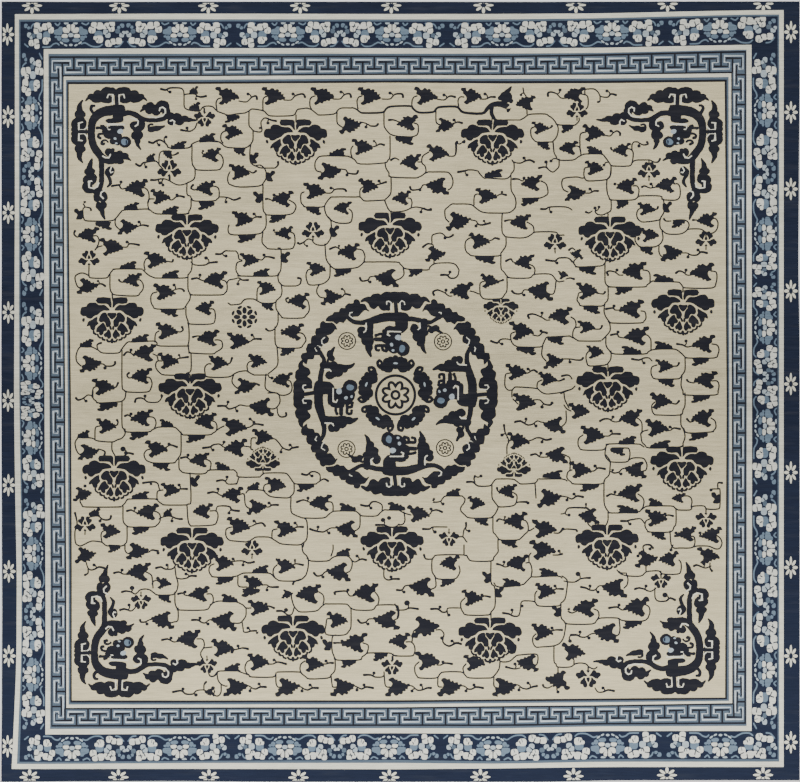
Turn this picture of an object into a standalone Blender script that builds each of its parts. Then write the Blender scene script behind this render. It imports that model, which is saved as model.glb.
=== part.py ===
"""A nearly square hand-knotted Chinese carpet, lying flat and face up.

The carpet is one piece, so it is one solid: a wool pile on a cotton foundation, with the
overcast sides and the trimmed ends woven in one with it. Metres, +Z up. The origin is at the
middle of the underside, +X runs across the carpet along its rows of knots, and +Y runs up it
along its warps. The underside is flat on the floor. The sides waver as an old carpet's do, and
the pile has worn hollows and three low creases.
"""

import math

import bmesh
import bpy

# Driving sizes of the carpet, in metres.
CARPET_WIDTH = 3.512
CARPET_LENGTH = 3.434
PILE_HEIGHT = 0.0070  # underside to the tips of the pile
RIM_WIDTH = 0.0060  # how far in from the edge the pile reaches its full height
RIM_ROUNDING = 0.0012  # how far the edge's foot is tucked under
RIM_MIDDLE = 0.0032  # height of the widest point of the edge

# How far each edge lies outside the straight line, in millimetres, at equal stations.
# The two sides run from the far end to the near end, the two ends from left to right.
EDGE_WAVER_MM = {
    "left": (-0.2, 1.3, 0.7, -0.1, 1.6, 0.9, -0.8, -2.3, -1.2, 1.6),
    "right": (0.7, 0.6, -2.4, -4.6, 0.5, 0.7, 0.7, 0.6, 0.7, 0.7),
    "far": (-0.1, -1.6, -1.1, -0.6, -0.8, -1.2, -1.7, -0.2, 0.5, 0.5),
    "near": (0.8, -1.8, -2.8, 0.5, 0.8, 0.8, 0.8, -6.0, -6.7, -6.5),
}

# Low creases left by folding: middle, direction, length, width and height, in metres and degrees.
CREASES = (
    {"x": 0.62, "y": -0.70, "turn": 12.0, "length": 0.62, "width": 0.070, "height": 0.0016},
    {"x": 0.56, "y": -0.86, "turn": 8.0, "length": 0.44, "width": 0.060, "height": 0.0012},
    {"x": -0.90, "y": 0.66, "turn": 96.0, "length": 0.50, "width": 0.080, "height": 0.0010},
)

# Wear: the pile is lower in slow patches, this deep and this far apart.
WEAR_DEPTH = 0.0006
WEAR_PITCH_X = 0.83
WEAR_PITCH_Y = 0.71

STEPS_ACROSS = 34
STEPS_ALONG = 34

GROUND_IVORY = (0.58, 0.50, 0.36, 1.0)


def edge_waver(side, share):
    """The edge's distance outside its straight line at this share of its length, in metres."""
    stations = EDGE_WAVER_MM[side]
    place = min(max(share, 0.0), 1.0) * (len(stations) - 1)
    first = min(int(place), len(stations) - 2)
    part = place - first
    smooth = part * part * (3.0 - 2.0 * part)
    millimetres = stations[first] * (1.0 - smooth) + stations[first + 1] * smooth
    return millimetres / 1000.0


def plan_place(across, along):
    """Where the point at these shares of the width and length lies, before centring."""
    left = -CARPET_WIDTH / 2 - edge_waver("left", 1.0 - along)
    right = CARPET_WIDTH / 2 + edge_waver("right", 1.0 - along)
    near = -CARPET_LENGTH / 2 - edge_waver("near", across)
    far = CARPET_LENGTH / 2 + edge_waver("far", across)
    return left + (right - left) * across, near + (far - near) * along


def crease_rise(crease, x, y):
    """How much one crease lifts the pile at x, y."""
    turn = math.radians(crease["turn"])
    along = (x - crease["x"]) * math.cos(turn) + (y - crease["y"]) * math.sin(turn)
    aside = (y - crease["y"]) * math.cos(turn) - (x - crease["x"]) * math.sin(turn)
    fade = math.exp(-((2.0 * along / crease["length"]) ** 2))
    return crease["height"] * fade * math.exp(-((2.0 * aside / crease["width"]) ** 2))


def pile_top(x, y):
    """Height of the pile's surface at x, y, inside the rim."""
    patch = math.sin(2 * math.pi * x / WEAR_PITCH_X + 0.8) * math.cos(2 * math.pi * y / WEAR_PITCH_Y)
    wear = WEAR_DEPTH * (0.5 + 0.5 * patch)
    return PILE_HEIGHT - wear + sum(crease_rise(crease, x, y) for crease in CREASES)


def yarn_material():
    """Undyed wool: matt, with no metal in it."""
    material = bpy.data.materials.new("ground_wool")
    material.use_nodes = True
    shader = material.node_tree.nodes["Principled BSDF"]
    shader.inputs["Base Color"].default_value = GROUND_IVORY
    shader.inputs["Roughness"].default_value = 0.95
    shader.inputs["Metallic"].default_value = 0.0
    return material


def place_top(grid):
    """Moves the flat grid's points to the wavering plan, and returns the rim's points."""
    rim = {vert for vert in grid.verts if vert.is_boundary}
    for vert in grid.verts:
        across = vert.co.x + 0.5
        along = vert.co.y + 0.5
        vert.co.x, vert.co.y = plan_place(across, along)
    low_x = min(vert.co.x for vert in rim)
    high_x = max(vert.co.x for vert in rim)
    low_y = min(vert.co.y for vert in rim)
    high_y = max(vert.co.y for vert in rim)
    for vert in grid.verts:
        vert.co.x -= (low_x + high_x) / 2
        vert.co.y -= (low_y + high_y) / 2
    for vert in grid.verts:
        vert.co.z = pile_top(vert.co.x, vert.co.y)
    return rim


def drawn_in(co, distance):
    """The rim point moved in towards the middle by this distance, or out if it is below zero."""
    x = co.x
    y = co.y
    if abs(x) > CARPET_WIDTH / 2 - 3 * RIM_WIDTH:
        x -= distance * math.copysign(1.0, x)
    if abs(y) > CARPET_LENGTH / 2 - 3 * RIM_WIDTH:
        y -= distance * math.copysign(1.0, y)
    return x, y


def extruded_ring(grid, edges):
    """Extrudes an open ring of edges and returns the new points and the new ring."""
    made = bmesh.ops.extrude_edge_only(grid, edges=edges)["geom"]
    points = [item for item in made if isinstance(item, bmesh.types.BMVert)]
    ring = [item for item in made if isinstance(item, bmesh.types.BMEdge) and item.is_boundary]
    return points, ring


def build_carpet():
    """The whole carpet as one closed solid."""
    grid = bmesh.new()
    bmesh.ops.create_grid(grid, x_segments=STEPS_ACROSS, y_segments=STEPS_ALONG, size=0.5)
    rim = place_top(grid)
    ring = [edge for edge in grid.edges if edge.is_boundary]
    for vert in rim:
        vert.co.x, vert.co.y = drawn_in(vert.co, RIM_WIDTH)

    widest, ring = extruded_ring(grid, ring)
    for vert in widest:
        vert.co.x, vert.co.y = drawn_in(vert.co, -RIM_WIDTH)
        vert.co.z = RIM_MIDDLE
    foot, ring = extruded_ring(grid, ring)
    for vert in foot:
        vert.co.x, vert.co.y = drawn_in(vert.co, RIM_ROUNDING)
        vert.co.z = 0.0
    bmesh.ops.contextual_create(grid, geom=ring)
    bmesh.ops.recalc_face_normals(grid, faces=grid.faces)

    mesh = bpy.data.meshes.new("rug")
    grid.to_mesh(mesh)
    grid.free()
    mesh.materials.append(yarn_material())
    carpet = bpy.data.objects.new("rug", mesh)
    bpy.context.scene.collection.objects.link(carpet)
    return carpet


def main():
    for old in list(bpy.data.objects):
        bpy.data.objects.remove(old)
    build_carpet()


main()
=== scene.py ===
import math
import random

import bmesh
import bpy
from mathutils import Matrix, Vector
from mathutils.geometry import delaunay_2d_cdt


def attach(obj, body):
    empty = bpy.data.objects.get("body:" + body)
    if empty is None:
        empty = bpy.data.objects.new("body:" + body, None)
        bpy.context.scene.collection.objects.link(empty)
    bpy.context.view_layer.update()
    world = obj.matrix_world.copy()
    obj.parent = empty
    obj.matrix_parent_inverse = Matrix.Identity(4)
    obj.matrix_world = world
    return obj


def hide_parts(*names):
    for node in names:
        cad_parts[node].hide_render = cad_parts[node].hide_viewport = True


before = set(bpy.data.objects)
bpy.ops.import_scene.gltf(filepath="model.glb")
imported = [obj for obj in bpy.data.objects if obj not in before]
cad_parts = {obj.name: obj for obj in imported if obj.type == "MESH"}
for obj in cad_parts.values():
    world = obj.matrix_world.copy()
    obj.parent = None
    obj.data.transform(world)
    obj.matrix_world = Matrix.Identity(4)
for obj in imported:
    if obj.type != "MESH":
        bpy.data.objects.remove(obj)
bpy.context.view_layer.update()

# The carpet's pattern is charted in knots, x across from the left side and y down from the top
# end, and the knots are 4.4 mm apart. One knot is one pixel of the photo. The motifs, vines and
# band lines are dabs, strokes and outlines whose points were read off enlarged crops of the
# photo with a pixel grid over them.
carpet = {
    "knot": 0.0044,
    "origin": (400.45, 391.63),  # the knot over the row's origin
    "width": 3.512,
    "length": 3.434,
    "pile": 0.0070,
    "rimWidth": 0.0060,
    "rimMiddle": 0.0032,
    "rimRounding": 0.0012,
    "columns": (-2.0, 262.0, 536.0, 803.0),  # where the cloth is parted into tiles
    "rows": (-3.0, 255.0, 527.0, 785.0),
    "gridStep": 8.5,
    "wearDepth": 0.0006,
    "wearPitch": (0.83, 0.71),
}
# The edges' waver, judged from rows of the photo's edge pixels.
edgeWaverMm = {
    "left": (-0.2, 1.3, 0.7, -0.1, 1.6, 0.9, -0.8, -2.3, -1.2, 1.6),
    "right": (0.7, 0.6, -2.4, -4.6, 0.5, 0.7, 0.7, 0.6, 0.7, 0.7),
    "far": (-0.1, -1.6, -1.1, -0.6, -0.8, -1.2, -1.7, -0.2, 0.5, 0.5),
    "near": (0.8, -1.8, -2.8, 0.5, 0.8, 0.8, 0.8, -6.0, -6.7, -6.5),
}
creases = (  # x, y, turn in degrees, length, width and height
    (0.62, -0.70, 12.0, 0.62, 0.070, 0.0016),
    (0.56, -0.86, 8.0, 0.44, 0.060, 0.0012),
    (-0.90, 0.66, 96.0, 0.50, 0.080, 0.0010),
)
# Wool colours, as linear values.
dyes = {
    "field": (0.455, 0.399, 0.250),
    "ivory": (0.505, 0.495, 0.405),
    "indigo": (0.0125, 0.0130, 0.0175),
    "navy": (0.0115, 0.0155, 0.0300),
    "blue": (0.070, 0.094, 0.122),
    "sky": (0.100, 0.138, 0.178),
    "grey": (0.270, 0.315, 0.335),
    "pale": (0.370, 0.415, 0.440),
    "cream": (0.480, 0.482, 0.425),
}
random.seed(17)


def waverAt(side, share):
    stations = edgeWaverMm[side]
    place = min(max(share, 0.0), 1.0) * (len(stations) - 1)
    first = min(int(place), len(stations) - 2)
    part = place - first
    smoothed = part * part * (3.0 - 2.0 * part)
    return (stations[first] * (1.0 - smoothed) + stations[first + 1] * smoothed) / 1000.0


def planPlace(across, along):
    left = -carpet["width"] / 2 - waverAt("left", 1.0 - along)
    right = carpet["width"] / 2 + waverAt("right", 1.0 - along)
    near = -carpet["length"] / 2 - waverAt("near", across)
    far = carpet["length"] / 2 + waverAt("far", across)
    return left + (right - left) * across, near + (far - near) * along


# The box's middle is the origin, and the waver moves it a little.
boxShift = ((0.7 - 1.6) / 2000.0, (0.5 - 0.8) / 2000.0)


def pileTop(x, y):
    pitchX, pitchY = carpet["wearPitch"]
    patch = math.sin(2 * math.pi * x / pitchX + 0.8) * math.cos(2 * math.pi * y / pitchY)
    height = carpet["pile"] - carpet["wearDepth"] * (0.5 + 0.5 * patch)
    for cx, cy, turn, length, width, rise in creases:
        c = math.cos(math.radians(turn))
        s = math.sin(math.radians(turn))
        along = (x - cx) * c + (y - cy) * s
        aside = (y - cy) * c - (x - cx) * s
        height += rise * math.exp(-((2 * along / length) ** 2) - (2 * aside / width) ** 2)
    return height


def pileNormal(x, y):
    step = 0.004
    dx = (pileTop(x + step, y) - pileTop(x - step, y)) / (2 * step)
    dy = (pileTop(x, y + step) - pileTop(x, y - step)) / (2 * step)
    return Vector((-dx, -dy, 1.0)).normalized()


def toPlace(kx, ky):
    return ((kx - carpet["origin"][0]) * carpet["knot"], (carpet["origin"][1] - ky) * carpet["knot"])


def toKnots(x, y):
    return (x / carpet["knot"] + carpet["origin"][0], carpet["origin"][1] - y / carpet["knot"])


# Drawing with yarn: the shapes are kept in painting order.
painted = []  # (dye, points in knots)


def paint(dye, points):
    painted.append((dye, points))


def ringPoints(x, y, rx, ry, turn=0.0, sides=12):
    c = math.cos(math.radians(turn))
    s = math.sin(math.radians(turn))
    points = []
    for k in range(sides):
        a = 2 * math.pi * (k + 0.5) / sides
        u = rx * math.cos(a)
        v = ry * math.sin(a)
        points.append((x + u * c - v * s, y + u * s + v * c))
    return points


def dab(dye, x, y, rx, ry=None, turn=0.0):
    r = max(rx, ry or rx)
    return [(dye, ringPoints(x, y, rx, rx if ry is None else ry, turn, 8 if r < 1.6 else 12))]


def curve(points, steps=4, closed=False):
    # a Catmull-Rom curve through given points
    count = len(points)
    spans = count if closed else count - 1
    made = []
    for i in range(spans):
        if closed:
            p0, p1, p2, p3 = (points[(i + k - 1) % count] for k in range(4))
        else:
            p0, p1, p2, p3 = (points[min(max(i + k - 1, 0), count - 1)] for k in range(4))
        for k in range(steps):
            t = k / steps
            made.append(
                tuple(
                    0.5
                    * (
                        2 * b
                        + (c - a) * t
                        + (2 * a - 5 * b + 4 * c - d) * t * t
                        + (3 * b - a - 3 * c + d) * t * t * t
                    )
                    for a, b, c, d in zip(p0, p1, p2, p3)
                )
            )
    if not closed:
        made.append(tuple(points[-1]))
    return made


def stroke(dye, rows, wide=None):
    # a line of yarn as joined quads with round ends; each row is x, y and its own width, or wide
    rows = [row if len(row) == 3 else (*row, wide) for row in rows]
    rows = [rows[0]] + [b for a, b in zip(rows, rows[1:]) if math.dist(a[:2], b[:2]) > 0.05]
    last = len(rows) - 1
    if last < 1:
        return []
    sides = []
    for k, (x, y, w) in enumerate(rows):
        ax, ay, _ = rows[max(k - 1, 0)]
        bx, by, _ = rows[min(k + 1, last)]
        long = math.hypot(bx - ax, by - ay) or 1.0
        nx = -(by - ay) / long
        ny = (bx - ax) / long
        stretch = 1.0
        if 0 < k < last:
            before = math.hypot(x - ax, y - ay) or 1.0
            stretch = 1.0 / max(((x - ax) * ny - (y - ay) * nx) / before, 0.55)
        h = w / 2 * stretch
        sides.append(((x + nx * h, y + ny * h), (x - nx * h, y - ny * h)))
    made = [(dye, [a[0], a[1], b[1], b[0]]) for a, b in zip(sides, sides[1:])]
    for x, y, w in (rows[0], rows[-1]):
        if w > 0.9:
            made += dab(dye, x, y, w / 2)
    return made


def brush(dye, rows, wide=None, steps=3):
    # a smooth stroke through given rows of x, y and width
    return stroke(dye, curve([row if len(row) == 3 else (*row, wide) for row in rows], steps))


def outline(dye, points, steps=3):
    return [(dye, curve(points, steps, closed=True))]


def lobed(rows, dye="indigo"):
    # a shape worked as rounded lobes run together, each x, y and its two radii
    return [piece for row in rows for piece in dab(dye, *row)]


def mirrored(motif):
    return motif + [(dye, [(-x, y) for x, y in points]) for dye, points in motif]


def signedArea(points):
    return sum(a[0] * b[1] - b[0] * a[1] for a, b in zip(points, points[1:] + points[:1])) / 2


def grown(motif, by):
    # every outline moved outwards by this much
    made = []
    for dye, points in motif:
        sign = by if signedArea(points) > 0 else -by
        moved = []
        for k, (x, y) in enumerate(points):
            ax, ay = points[k - 1]
            bx, by2 = points[(k + 1) % len(points)]
            long = math.hypot(bx - ax, by2 - ay) or 1.0
            moved.append((x + sign * (by2 - ay) / long, y - sign * (bx - ax) / long))
        made.append((dye, moved))
    return made


def fuller(motif, by):
    # the dark shapes grown, the light lines kept as they are
    return [grown([piece], by)[0] if piece[0] == "indigo" else piece for piece in motif]


def place(motif, x, y, size=1.0, turn=0.0, flipX=False, flipY=False, wobble=0.0):
    c = math.cos(math.radians(turn))
    s = math.sin(math.radians(turn))
    sx, sy = size if hasattr(size, "__len__") else (size, size)
    phase = random.uniform(0, 6.28), random.uniform(0, 6.28)
    for dye, points in motif:
        moved = []
        for u, v in points:
            u *= -sx if flipX else sx
            v *= -sy if flipY else sy
            px = x + u * c - v * s
            py = y + u * s + v * c
            if wobble:
                px, py = (
                    px + wobble * math.sin(0.9 * py + phase[0]),
                    py + wobble * math.sin(0.8 * px + phase[1]),
                )
            moved.append((px, py))
        paint(dye, moved)


# The borders.
# Each band edge at stations along its side, read off enlarged crops: x, or y, in knots.
stationsX = (0.0, 50.0, 200.0, 400.0, 500.0, 600.0, 740.0, 800.0)
stationsY = (0.0, 60.0, 200.0, 300.0, 400.0, 480.0, 580.0, 660.0, 720.0, 782.0)
bands = {
    "top": (  # dye inside this line, then the line's y at each of stationsX
        ("ivory", 14.2, 14.0, 13.6, 14.0, 13.9, 13.4, 10.3, 10.0),
        ("blue", 19.3, 19.3, 19.2, 19.3, 19.3, 18.2, 14.6, 14.3),
        ("navy", 21.6, 21.5, 21.3, 21.5, 21.5, 20.0, 16.5, 16.2),
        ("ivory", 49.0, 49.0, 48.1, 48.3, 48.5, 47.8, 44.8, 44.6),
        ("blue", 53.8, 53.8, 53.6, 53.6, 53.6, 52.8, 49.7, 49.5),
        ("indigo", 56.2, 56.2, 56.0, 55.6, 55.8, 54.2, 50.8, 50.6),
        ("fret", 58.0, 58.0, 57.6, 57.2, 57.4, 56.0, 52.8, 52.6),
        ("indigo", 75.0, 75.0, 74.8, 73.4, 73.6, 73.4, 71.6, 71.4),
        ("ivory", 76.6, 76.6, 76.2, 75.0, 75.2, 74.8, 73.2, 73.0),
        ("blue", 79.8, 79.8, 79.6, 78.4, 78.8, 78.4, 76.8, 76.6),
        ("indigo", 82.0, 82.0, 81.8, 80.4, 81.0, 80.6, 79.4, 79.2),
        ("field", 84.3, 84.3, 84.0, 82.6, 83.6, 83.2, 81.6, 81.4),
    ),
    "bottom": (
        ("ivory", 769.0, 769.0, 768.9, 769.3, 768.4, 767.0, 767.0, 767.0),
        ("blue", 764.0, 764.0, 763.0, 763.0, 763.8, 761.8, 761.8, 761.6),
        ("navy", 761.8, 761.8, 760.8, 760.0, 761.4, 759.2, 759.2, 759.0),
        ("ivory", 734.5, 734.5, 733.8, 733.2, 733.8, 731.0, 731.0, 730.8),
        ("blue", 729.0, 729.0, 728.6, 728.2, 728.4, 726.4, 726.0, 726.0),
        ("indigo", 726.8, 726.8, 726.2, 726.0, 726.2, 724.6, 724.0, 724.0),
        ("fret", 725.0, 725.0, 724.3, 724.3, 724.4, 722.9, 722.2, 722.0),
        ("indigo", 709.6, 709.6, 709.0, 708.8, 707.6, 706.8, 704.6, 704.4),
        ("ivory", 708.0, 708.0, 707.4, 707.2, 706.0, 705.2, 703.0, 702.8),
        ("blue", 704.6, 704.6, 704.6, 704.2, 703.2, 702.4, 700.8, 700.6),
        ("indigo", 702.6, 702.6, 702.6, 702.2, 701.4, 700.6, 699.2, 699.0),
        ("field", 700.4, 700.4, 700.4, 700.2, 699.4, 698.5, 697.4, 697.2),
    ),
    "left": (  # the line's x at each of stationsY
        ("ivory", 14.9, 14.9, 14.9, 14.5, 14.0, 15.0, 16.8, 16.5, 14.0, 11.0),
        ("blue", 18.8, 18.8, 19.0, 19.0, 19.2, 20.5, 21.6, 21.2, 18.6, 16.2),
        ("navy", 20.4, 20.4, 20.4, 20.4, 20.4, 21.9, 22.4, 22.2, 20.8, 18.8),
        ("ivory", 43.8, 43.8, 44.0, 44.3, 44.5, 45.0, 45.5, 45.6, 45.4, 45.0),
        ("blue", 48.3, 48.3, 48.6, 49.0, 49.3, 49.8, 50.4, 50.3, 50.0, 50.0),
        ("indigo", 49.4, 49.4, 49.8, 50.0, 50.2, 50.8, 51.4, 51.4, 51.2, 51.2),
        ("fret", 50.6, 50.6, 51.0, 51.2, 51.4, 51.9, 52.5, 52.5, 52.4, 52.4),
        ("indigo", 62.2, 62.2, 62.6, 63.0, 63.9, 64.2, 65.0, 65.0, 65.0, 65.0),
        ("ivory", 63.6, 63.6, 64.0, 64.4, 65.2, 65.6, 66.4, 66.4, 66.4, 66.4),
        ("blue", 65.8, 65.8, 66.2, 66.8, 67.6, 68.0, 68.6, 68.6, 68.6, 68.6),
        ("indigo", 67.2, 67.2, 67.4, 68.2, 69.4, 69.8, 70.2, 70.2, 70.2, 70.2),
        ("field", 68.8, 68.8, 68.7, 69.6, 71.0, 71.5, 71.8, 71.8, 71.8, 71.8),
    ),
    "right": (
        ("ivory", 783.7, 783.7, 783.7, 783.7, 783.7, 783.7, 783.7, 783.7, 783.7, 783.7),
        ("blue", 779.2, 779.2, 779.2, 779.2, 779.2, 779.2, 779.2, 779.2, 779.2, 779.2),
        ("navy", 777.7, 777.7, 777.7, 777.7, 777.7, 777.7, 777.7, 777.7, 777.7, 777.7),
        ("ivory", 751.5, 751.5, 751.6, 751.8, 752.0, 752.0, 752.0, 751.8, 751.6, 751.6),
        ("blue", 746.6, 746.6, 746.6, 746.8, 746.8, 746.8, 746.8, 746.6, 746.6, 746.6),
        ("indigo", 746.0, 746.0, 746.0, 746.0, 746.0, 746.0, 746.0, 746.0, 746.0, 746.0),
        ("fret", 744.7, 744.7, 744.7, 744.8, 744.8, 744.6, 744.4, 744.4, 744.4, 744.4),
        ("indigo", 732.6, 732.6, 732.6, 732.8, 733.2, 733.4, 733.8, 733.8, 733.8, 733.8),
        ("ivory", 731.2, 731.2, 731.2, 731.4, 731.8, 732.0, 732.2, 732.2, 732.2, 732.2),
        ("blue", 728.6, 728.6, 728.8, 729.0, 729.4, 729.4, 729.2, 729.0, 729.0, 729.0),
        ("indigo", 726.6, 726.6, 727.4, 727.6, 728.2, 728.0, 727.4, 727.0, 727.0, 727.0),
        ("field", 724.4, 724.4, 725.6, 725.9, 726.6, 726.2, 725.6, 725.2, 725.0, 725.0),
    ),
}


def lineAt(side, index, at):
    # where a band's line lies at this place along its side
    places = stationsX if side in ("top", "bottom") else stationsY
    values = bands[side][index][1:]
    for (a, va), (b, vb) in zip(zip(places, values), zip(places[1:], values[1:])):
        if at <= b or b == places[-1]:
            t = min(max((at - a) / (b - a), 0.0), 1.0)
            return va + (vb - va) * t
    return values[-1]


def bandCorner(sideX, sideY, index):
    # where a band's upright line and its level line cross
    x, y = (20.0 if sideX == "left" else 780.0), (20.0 if sideY == "top" else 760.0)
    for _ in range(6):
        x = lineAt(sideX, index, y)
        y = lineAt(sideY, index, x)
    return x, y


def bandOutline(index):
    corners = [
        bandCorner("left", "top", index),
        bandCorner("right", "top", index),
        bandCorner("right", "bottom", index),
        bandCorner("left", "bottom", index),
    ]
    points = []
    for side, (x0, y0), (x1, y1) in (
        ("top", corners[0], corners[1]),
        ("right", corners[1], corners[2]),
        ("bottom", corners[2], corners[3]),
        ("left", corners[3], corners[0]),
    ):
        for k in range(24):
            t = k / 24
            if side in ("top", "bottom"):
                x = x0 + (x1 - x0) * t
                points.append((x, lineAt(side, index, x)))
            else:
                y = y0 + (y1 - y0) * t
                points.append((lineAt(side, index, y), y))
    return points


def drawBands():
    for index in range(12):
        dye = bands["top"][index][0]
        paint("blue" if dye == "fret" else dye, bandOutline(index))


# One floret of eight ivory petals, upright.
floret = []
for k in range(8):
    a = math.radians(45 * k)
    near, far = 1.6, (7.4 if k % 4 == 0 else 6.6)
    mid = (near + far + 1.2) / 2
    floret += dab("ivory", mid * math.sin(a), -mid * math.cos(a), 1.25, (far - near) / 2 + 0.3, 45.0 * k)

floretPlaces = {
    "left": ((7.3, 34.5), (8.0, 116.7), (8.2, 212.7), (8.3, 312.3), (8.0, 400.5), (8.4, 485.2),
             (8.8, 571.4), (8.8, 656.0), (7.6, 746.3)),
    "right": ((791.0, 32.0), (791.0, 112.3), (790.9, 189.0), (790.9, 291.0), (790.9, 384.0),
              (790.9, 472.5), (790.9, 567.5), (790.9, 656.0), (790.9, 742.3)),
    "top": ((32.0, 5.6), (119.3, 5.6), (208.3, 5.8), (300.2, 5.6), (391.3, 5.4), (483.5, 5.2),
            (576.0, 5.0), (667.6, 3.8), (763.4, 3.6)),
    "bottom": ((29.6, 777.3), (118.4, 777.3), (209.0, 777.4), (298.5, 777.6), (389.3, 777.4),
               (480.4, 777.0), (573.5, 776.2), (667.0, 775.2), (763.0, 775.0)),
}


def drawFlorets():
    for side, places in floretPlaces.items():
        for x, y in places:
            size = (0.92, 1.35) if side in ("left", "right") else (1.35, 1.0)
            place(floret, x, y, size)


# The fret. Its stems stand evenly between the band's two inner corners, and clear is the room
# left at each end, as a share of their pitch.
fret = {
    "stem": 1.8,
    "hook": 1.3,
    "line": 1.05,
    "bar": 0.30,
    "turn": 0.37,
    "level": {"stems": 29, "clear": 0.5},
    "upright": {"stems": 22, "clear": 0.1},
}


def fretStems(side):
    if side in ("top", "bottom"):
        run, start, end = fret["level"], bandCorner("left", side, 7)[0], bandCorner("right", side, 7)[0]
    else:
        run, start, end = fret["upright"], bandCorner(side, "top", 7)[1], bandCorner(side, "bottom", 7)[1]
    pitch = (end - start) / (run["stems"] - 1 + 2 * run["clear"])
    return pitch, [start + pitch * (run["clear"] + k) for k in range(run["stems"])]


def drawFret(side):
    # u runs along the band and v from its outer dark line, 0, to its inner one, 1
    def draw(dye, points, wide):
        placed = []
        for u, v in points:
            outer, inner = lineAt(side, 6, u), lineAt(side, 7, u)
            across = outer + (inner - outer) * v
            placed.append((u, across) if side in ("top", "bottom") else (across, u))
        for piece in stroke(dye, placed, wide):
            paint(*piece)

    pitch, stems = fretStems(side)
    b = fret["bar"] * pitch
    q = fret["turn"] * pitch
    turns = [(u, 0.0, 1.0) for u in stems] + [((u + w) / 2, 1.0, -1.0) for u, w in zip(stems, stems[1:])]
    for u, base, up in turns:
        low, mid, bar, far = (base + up * share for share in (-0.02, 0.52, 0.71, 0.85))
        draw("indigo", [(u, low), (u, bar)], fret["stem"])
        draw("indigo", [(u - b, mid), (u - b, bar), (u + b, bar), (u + b, mid)], fret["hook"])
        draw("pale", [(u - q + 2.2, 0.5), (u - q, 0.5), (u - q, far), (u + q, far), (u + q, 0.5),
                      (u + q - 2.2, 0.5)], fret["line"])


def drawFretCorner(sideX, sideY):
    # the fret's turn, in shares of the two bands' widths from the outer dark corner
    ax, ay = bandCorner(sideX, sideY, 6)
    bx, by = bandCorner(sideX, sideY, 7)
    wide = abs(bx - ax)
    for dye, points, width in (
        ("indigo", [(1.0, 1.02), (1.0, 0.29)], fret["stem"]),
        ("indigo", [(1 + 6.6 / wide, 0.46), (1 + 6.6 / wide, 0.29), (0.25, 0.29), (0.25, 0.72), (0.46, 0.72)],
         fret["hook"]),
        ("pale", [(1 + 6.0 / wide, 0.5), (1 + 8.2 / wide, 0.5), (1 + 8.2 / wide, 0.16), (0.14, 0.16), (0.14,
        0.86),
                  (0.5, 0.86), (0.5, 0.76)], fret["line"]),
    ):
        for piece in stroke(dye, [(ax + (bx - ax) * u, ay + (by - ay) * v) for u, v in points], width):
            paint(*piece)


# The flower border. Its unit is a lotus and the blossoms to its right and left, drawn with x along
# the band from the lotus and y from -12.5 at the band's outer line to 14.5 at its inner one.
bloom = mirrored(
    outline("sky", [(-16.8, 0), (-16.4, -4), (-12.6, -5.4), (-11.2, -7.4), (-8.2, -7), (-8.2, -3.6),
                    (-9, 0.4), (-12, 0.8)], 2)
    + outline("sky", [(-9.4, 6.2), (-7.8, 4.2), (-3.8, 4), (-1.5, 5.8), (-2.8, 7.8), (-6.6, 7.8)], 2)
    + dab("sky", -11.6, 4.0, 2.3, 2.6) + dab("sky", -14.6, 2.6, 1.7, 1.3)
    + outline("grey", [(-7, -11.4), (-2.2, -11.4), (-2.8, -10.1), (-5.8, -9.6)], 2)
    + outline("cream", [(-0.6, -9.4), (-3.7, -9.2), (-3.8, -6.2), (-0.8, -2.6)], 2)
    + outline("cream", [(-7.8, -6.2), (-4.9, -6.6), (-1.4, -2.1), (-4, -1.1), (-7, -1.7), (-8, -4)], 2)
    + outline("cream", [(-9.2, 3), (-8.4, 0.3), (-5.4, -0.3), (-3.3, 0.8), (-3.3, 3.2), (-6, 3.6)], 2)
    + dab("grey", -9.2, 8.6, 2.1, 0.9, 35) + dab("grey", -5.2, 10.8, 1.9, 0.9, 25)
) + dab("grey", 0, 0.9, 2.8, 2.1) + dab("grey", 0, 10.6, 1.9, 1.2)
clumps = {  # each is a dye and its lobes, as x, y and radius
    "right": [("cream", [(21.2, -4.4, 3.5), (23.2, -9, 3.1), (28.8, -8.2, 3.6)]), ("sky", [(27.6, 0.4, 4.1)]),
              ("cream", [(40.4, -4.9, 3), (40.8, -9.8, 3), (36.2, -8, 3), (33.6, -6.6, 2.2)]),
              ("grey", [(34.6, -1.8, 2.6), (36.8, 1.2, 2.7)]), ("cream",
              [(28.4, 5.2, 3.8), (24.4, 3.8, 1.9)]),
              ("cream", [(37.6, 9, 3.5), (42, 7.2, 3), (47.4, 6.6, 3.3)]), ("grey",
              [(50.4, 0.8, 2.4), (52.4, -1.6, 1.7)]),
              ("blue", [(46.4, -2.6, 2.4)]), ("sky", [(50.8, -8.4, 2.2), (47.6, -6.6, 1.6)])],
    "left": [("cream", [(-32.6, -5, 2.4), (-37.2, -3.6, 3.3), (-36.6, -8.2, 3.4)]), ("sky",
    [(-25.4, 1.2, 4.1)]),
             ("cream", [(-20.2, -3.8, 3.3), (-22.8, -8.2, 3), (-27.4, -7, 3.4)]), ("grey",
             [(-33.8, 1.6, 3.2)]),
             ("cream", [(-26.4, 6.2, 3.6), (-22.6, 4.8, 1.8)]), ("grey",
             [(-45.6, 0.8, 2.5), (-43.4, 3.2, 1.8)]),
             ("cream", [(-43, 8.2, 3.2), (-37.4, 7.4, 3.2), (-36.6, 11.2, 3)]), ("blue", [(-40.4, 1.2, 2.2)]),
             ("sky", [(-49.4, -8.2, 2.2), (-46.4, -6.2, 1.6)])],
}
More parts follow.
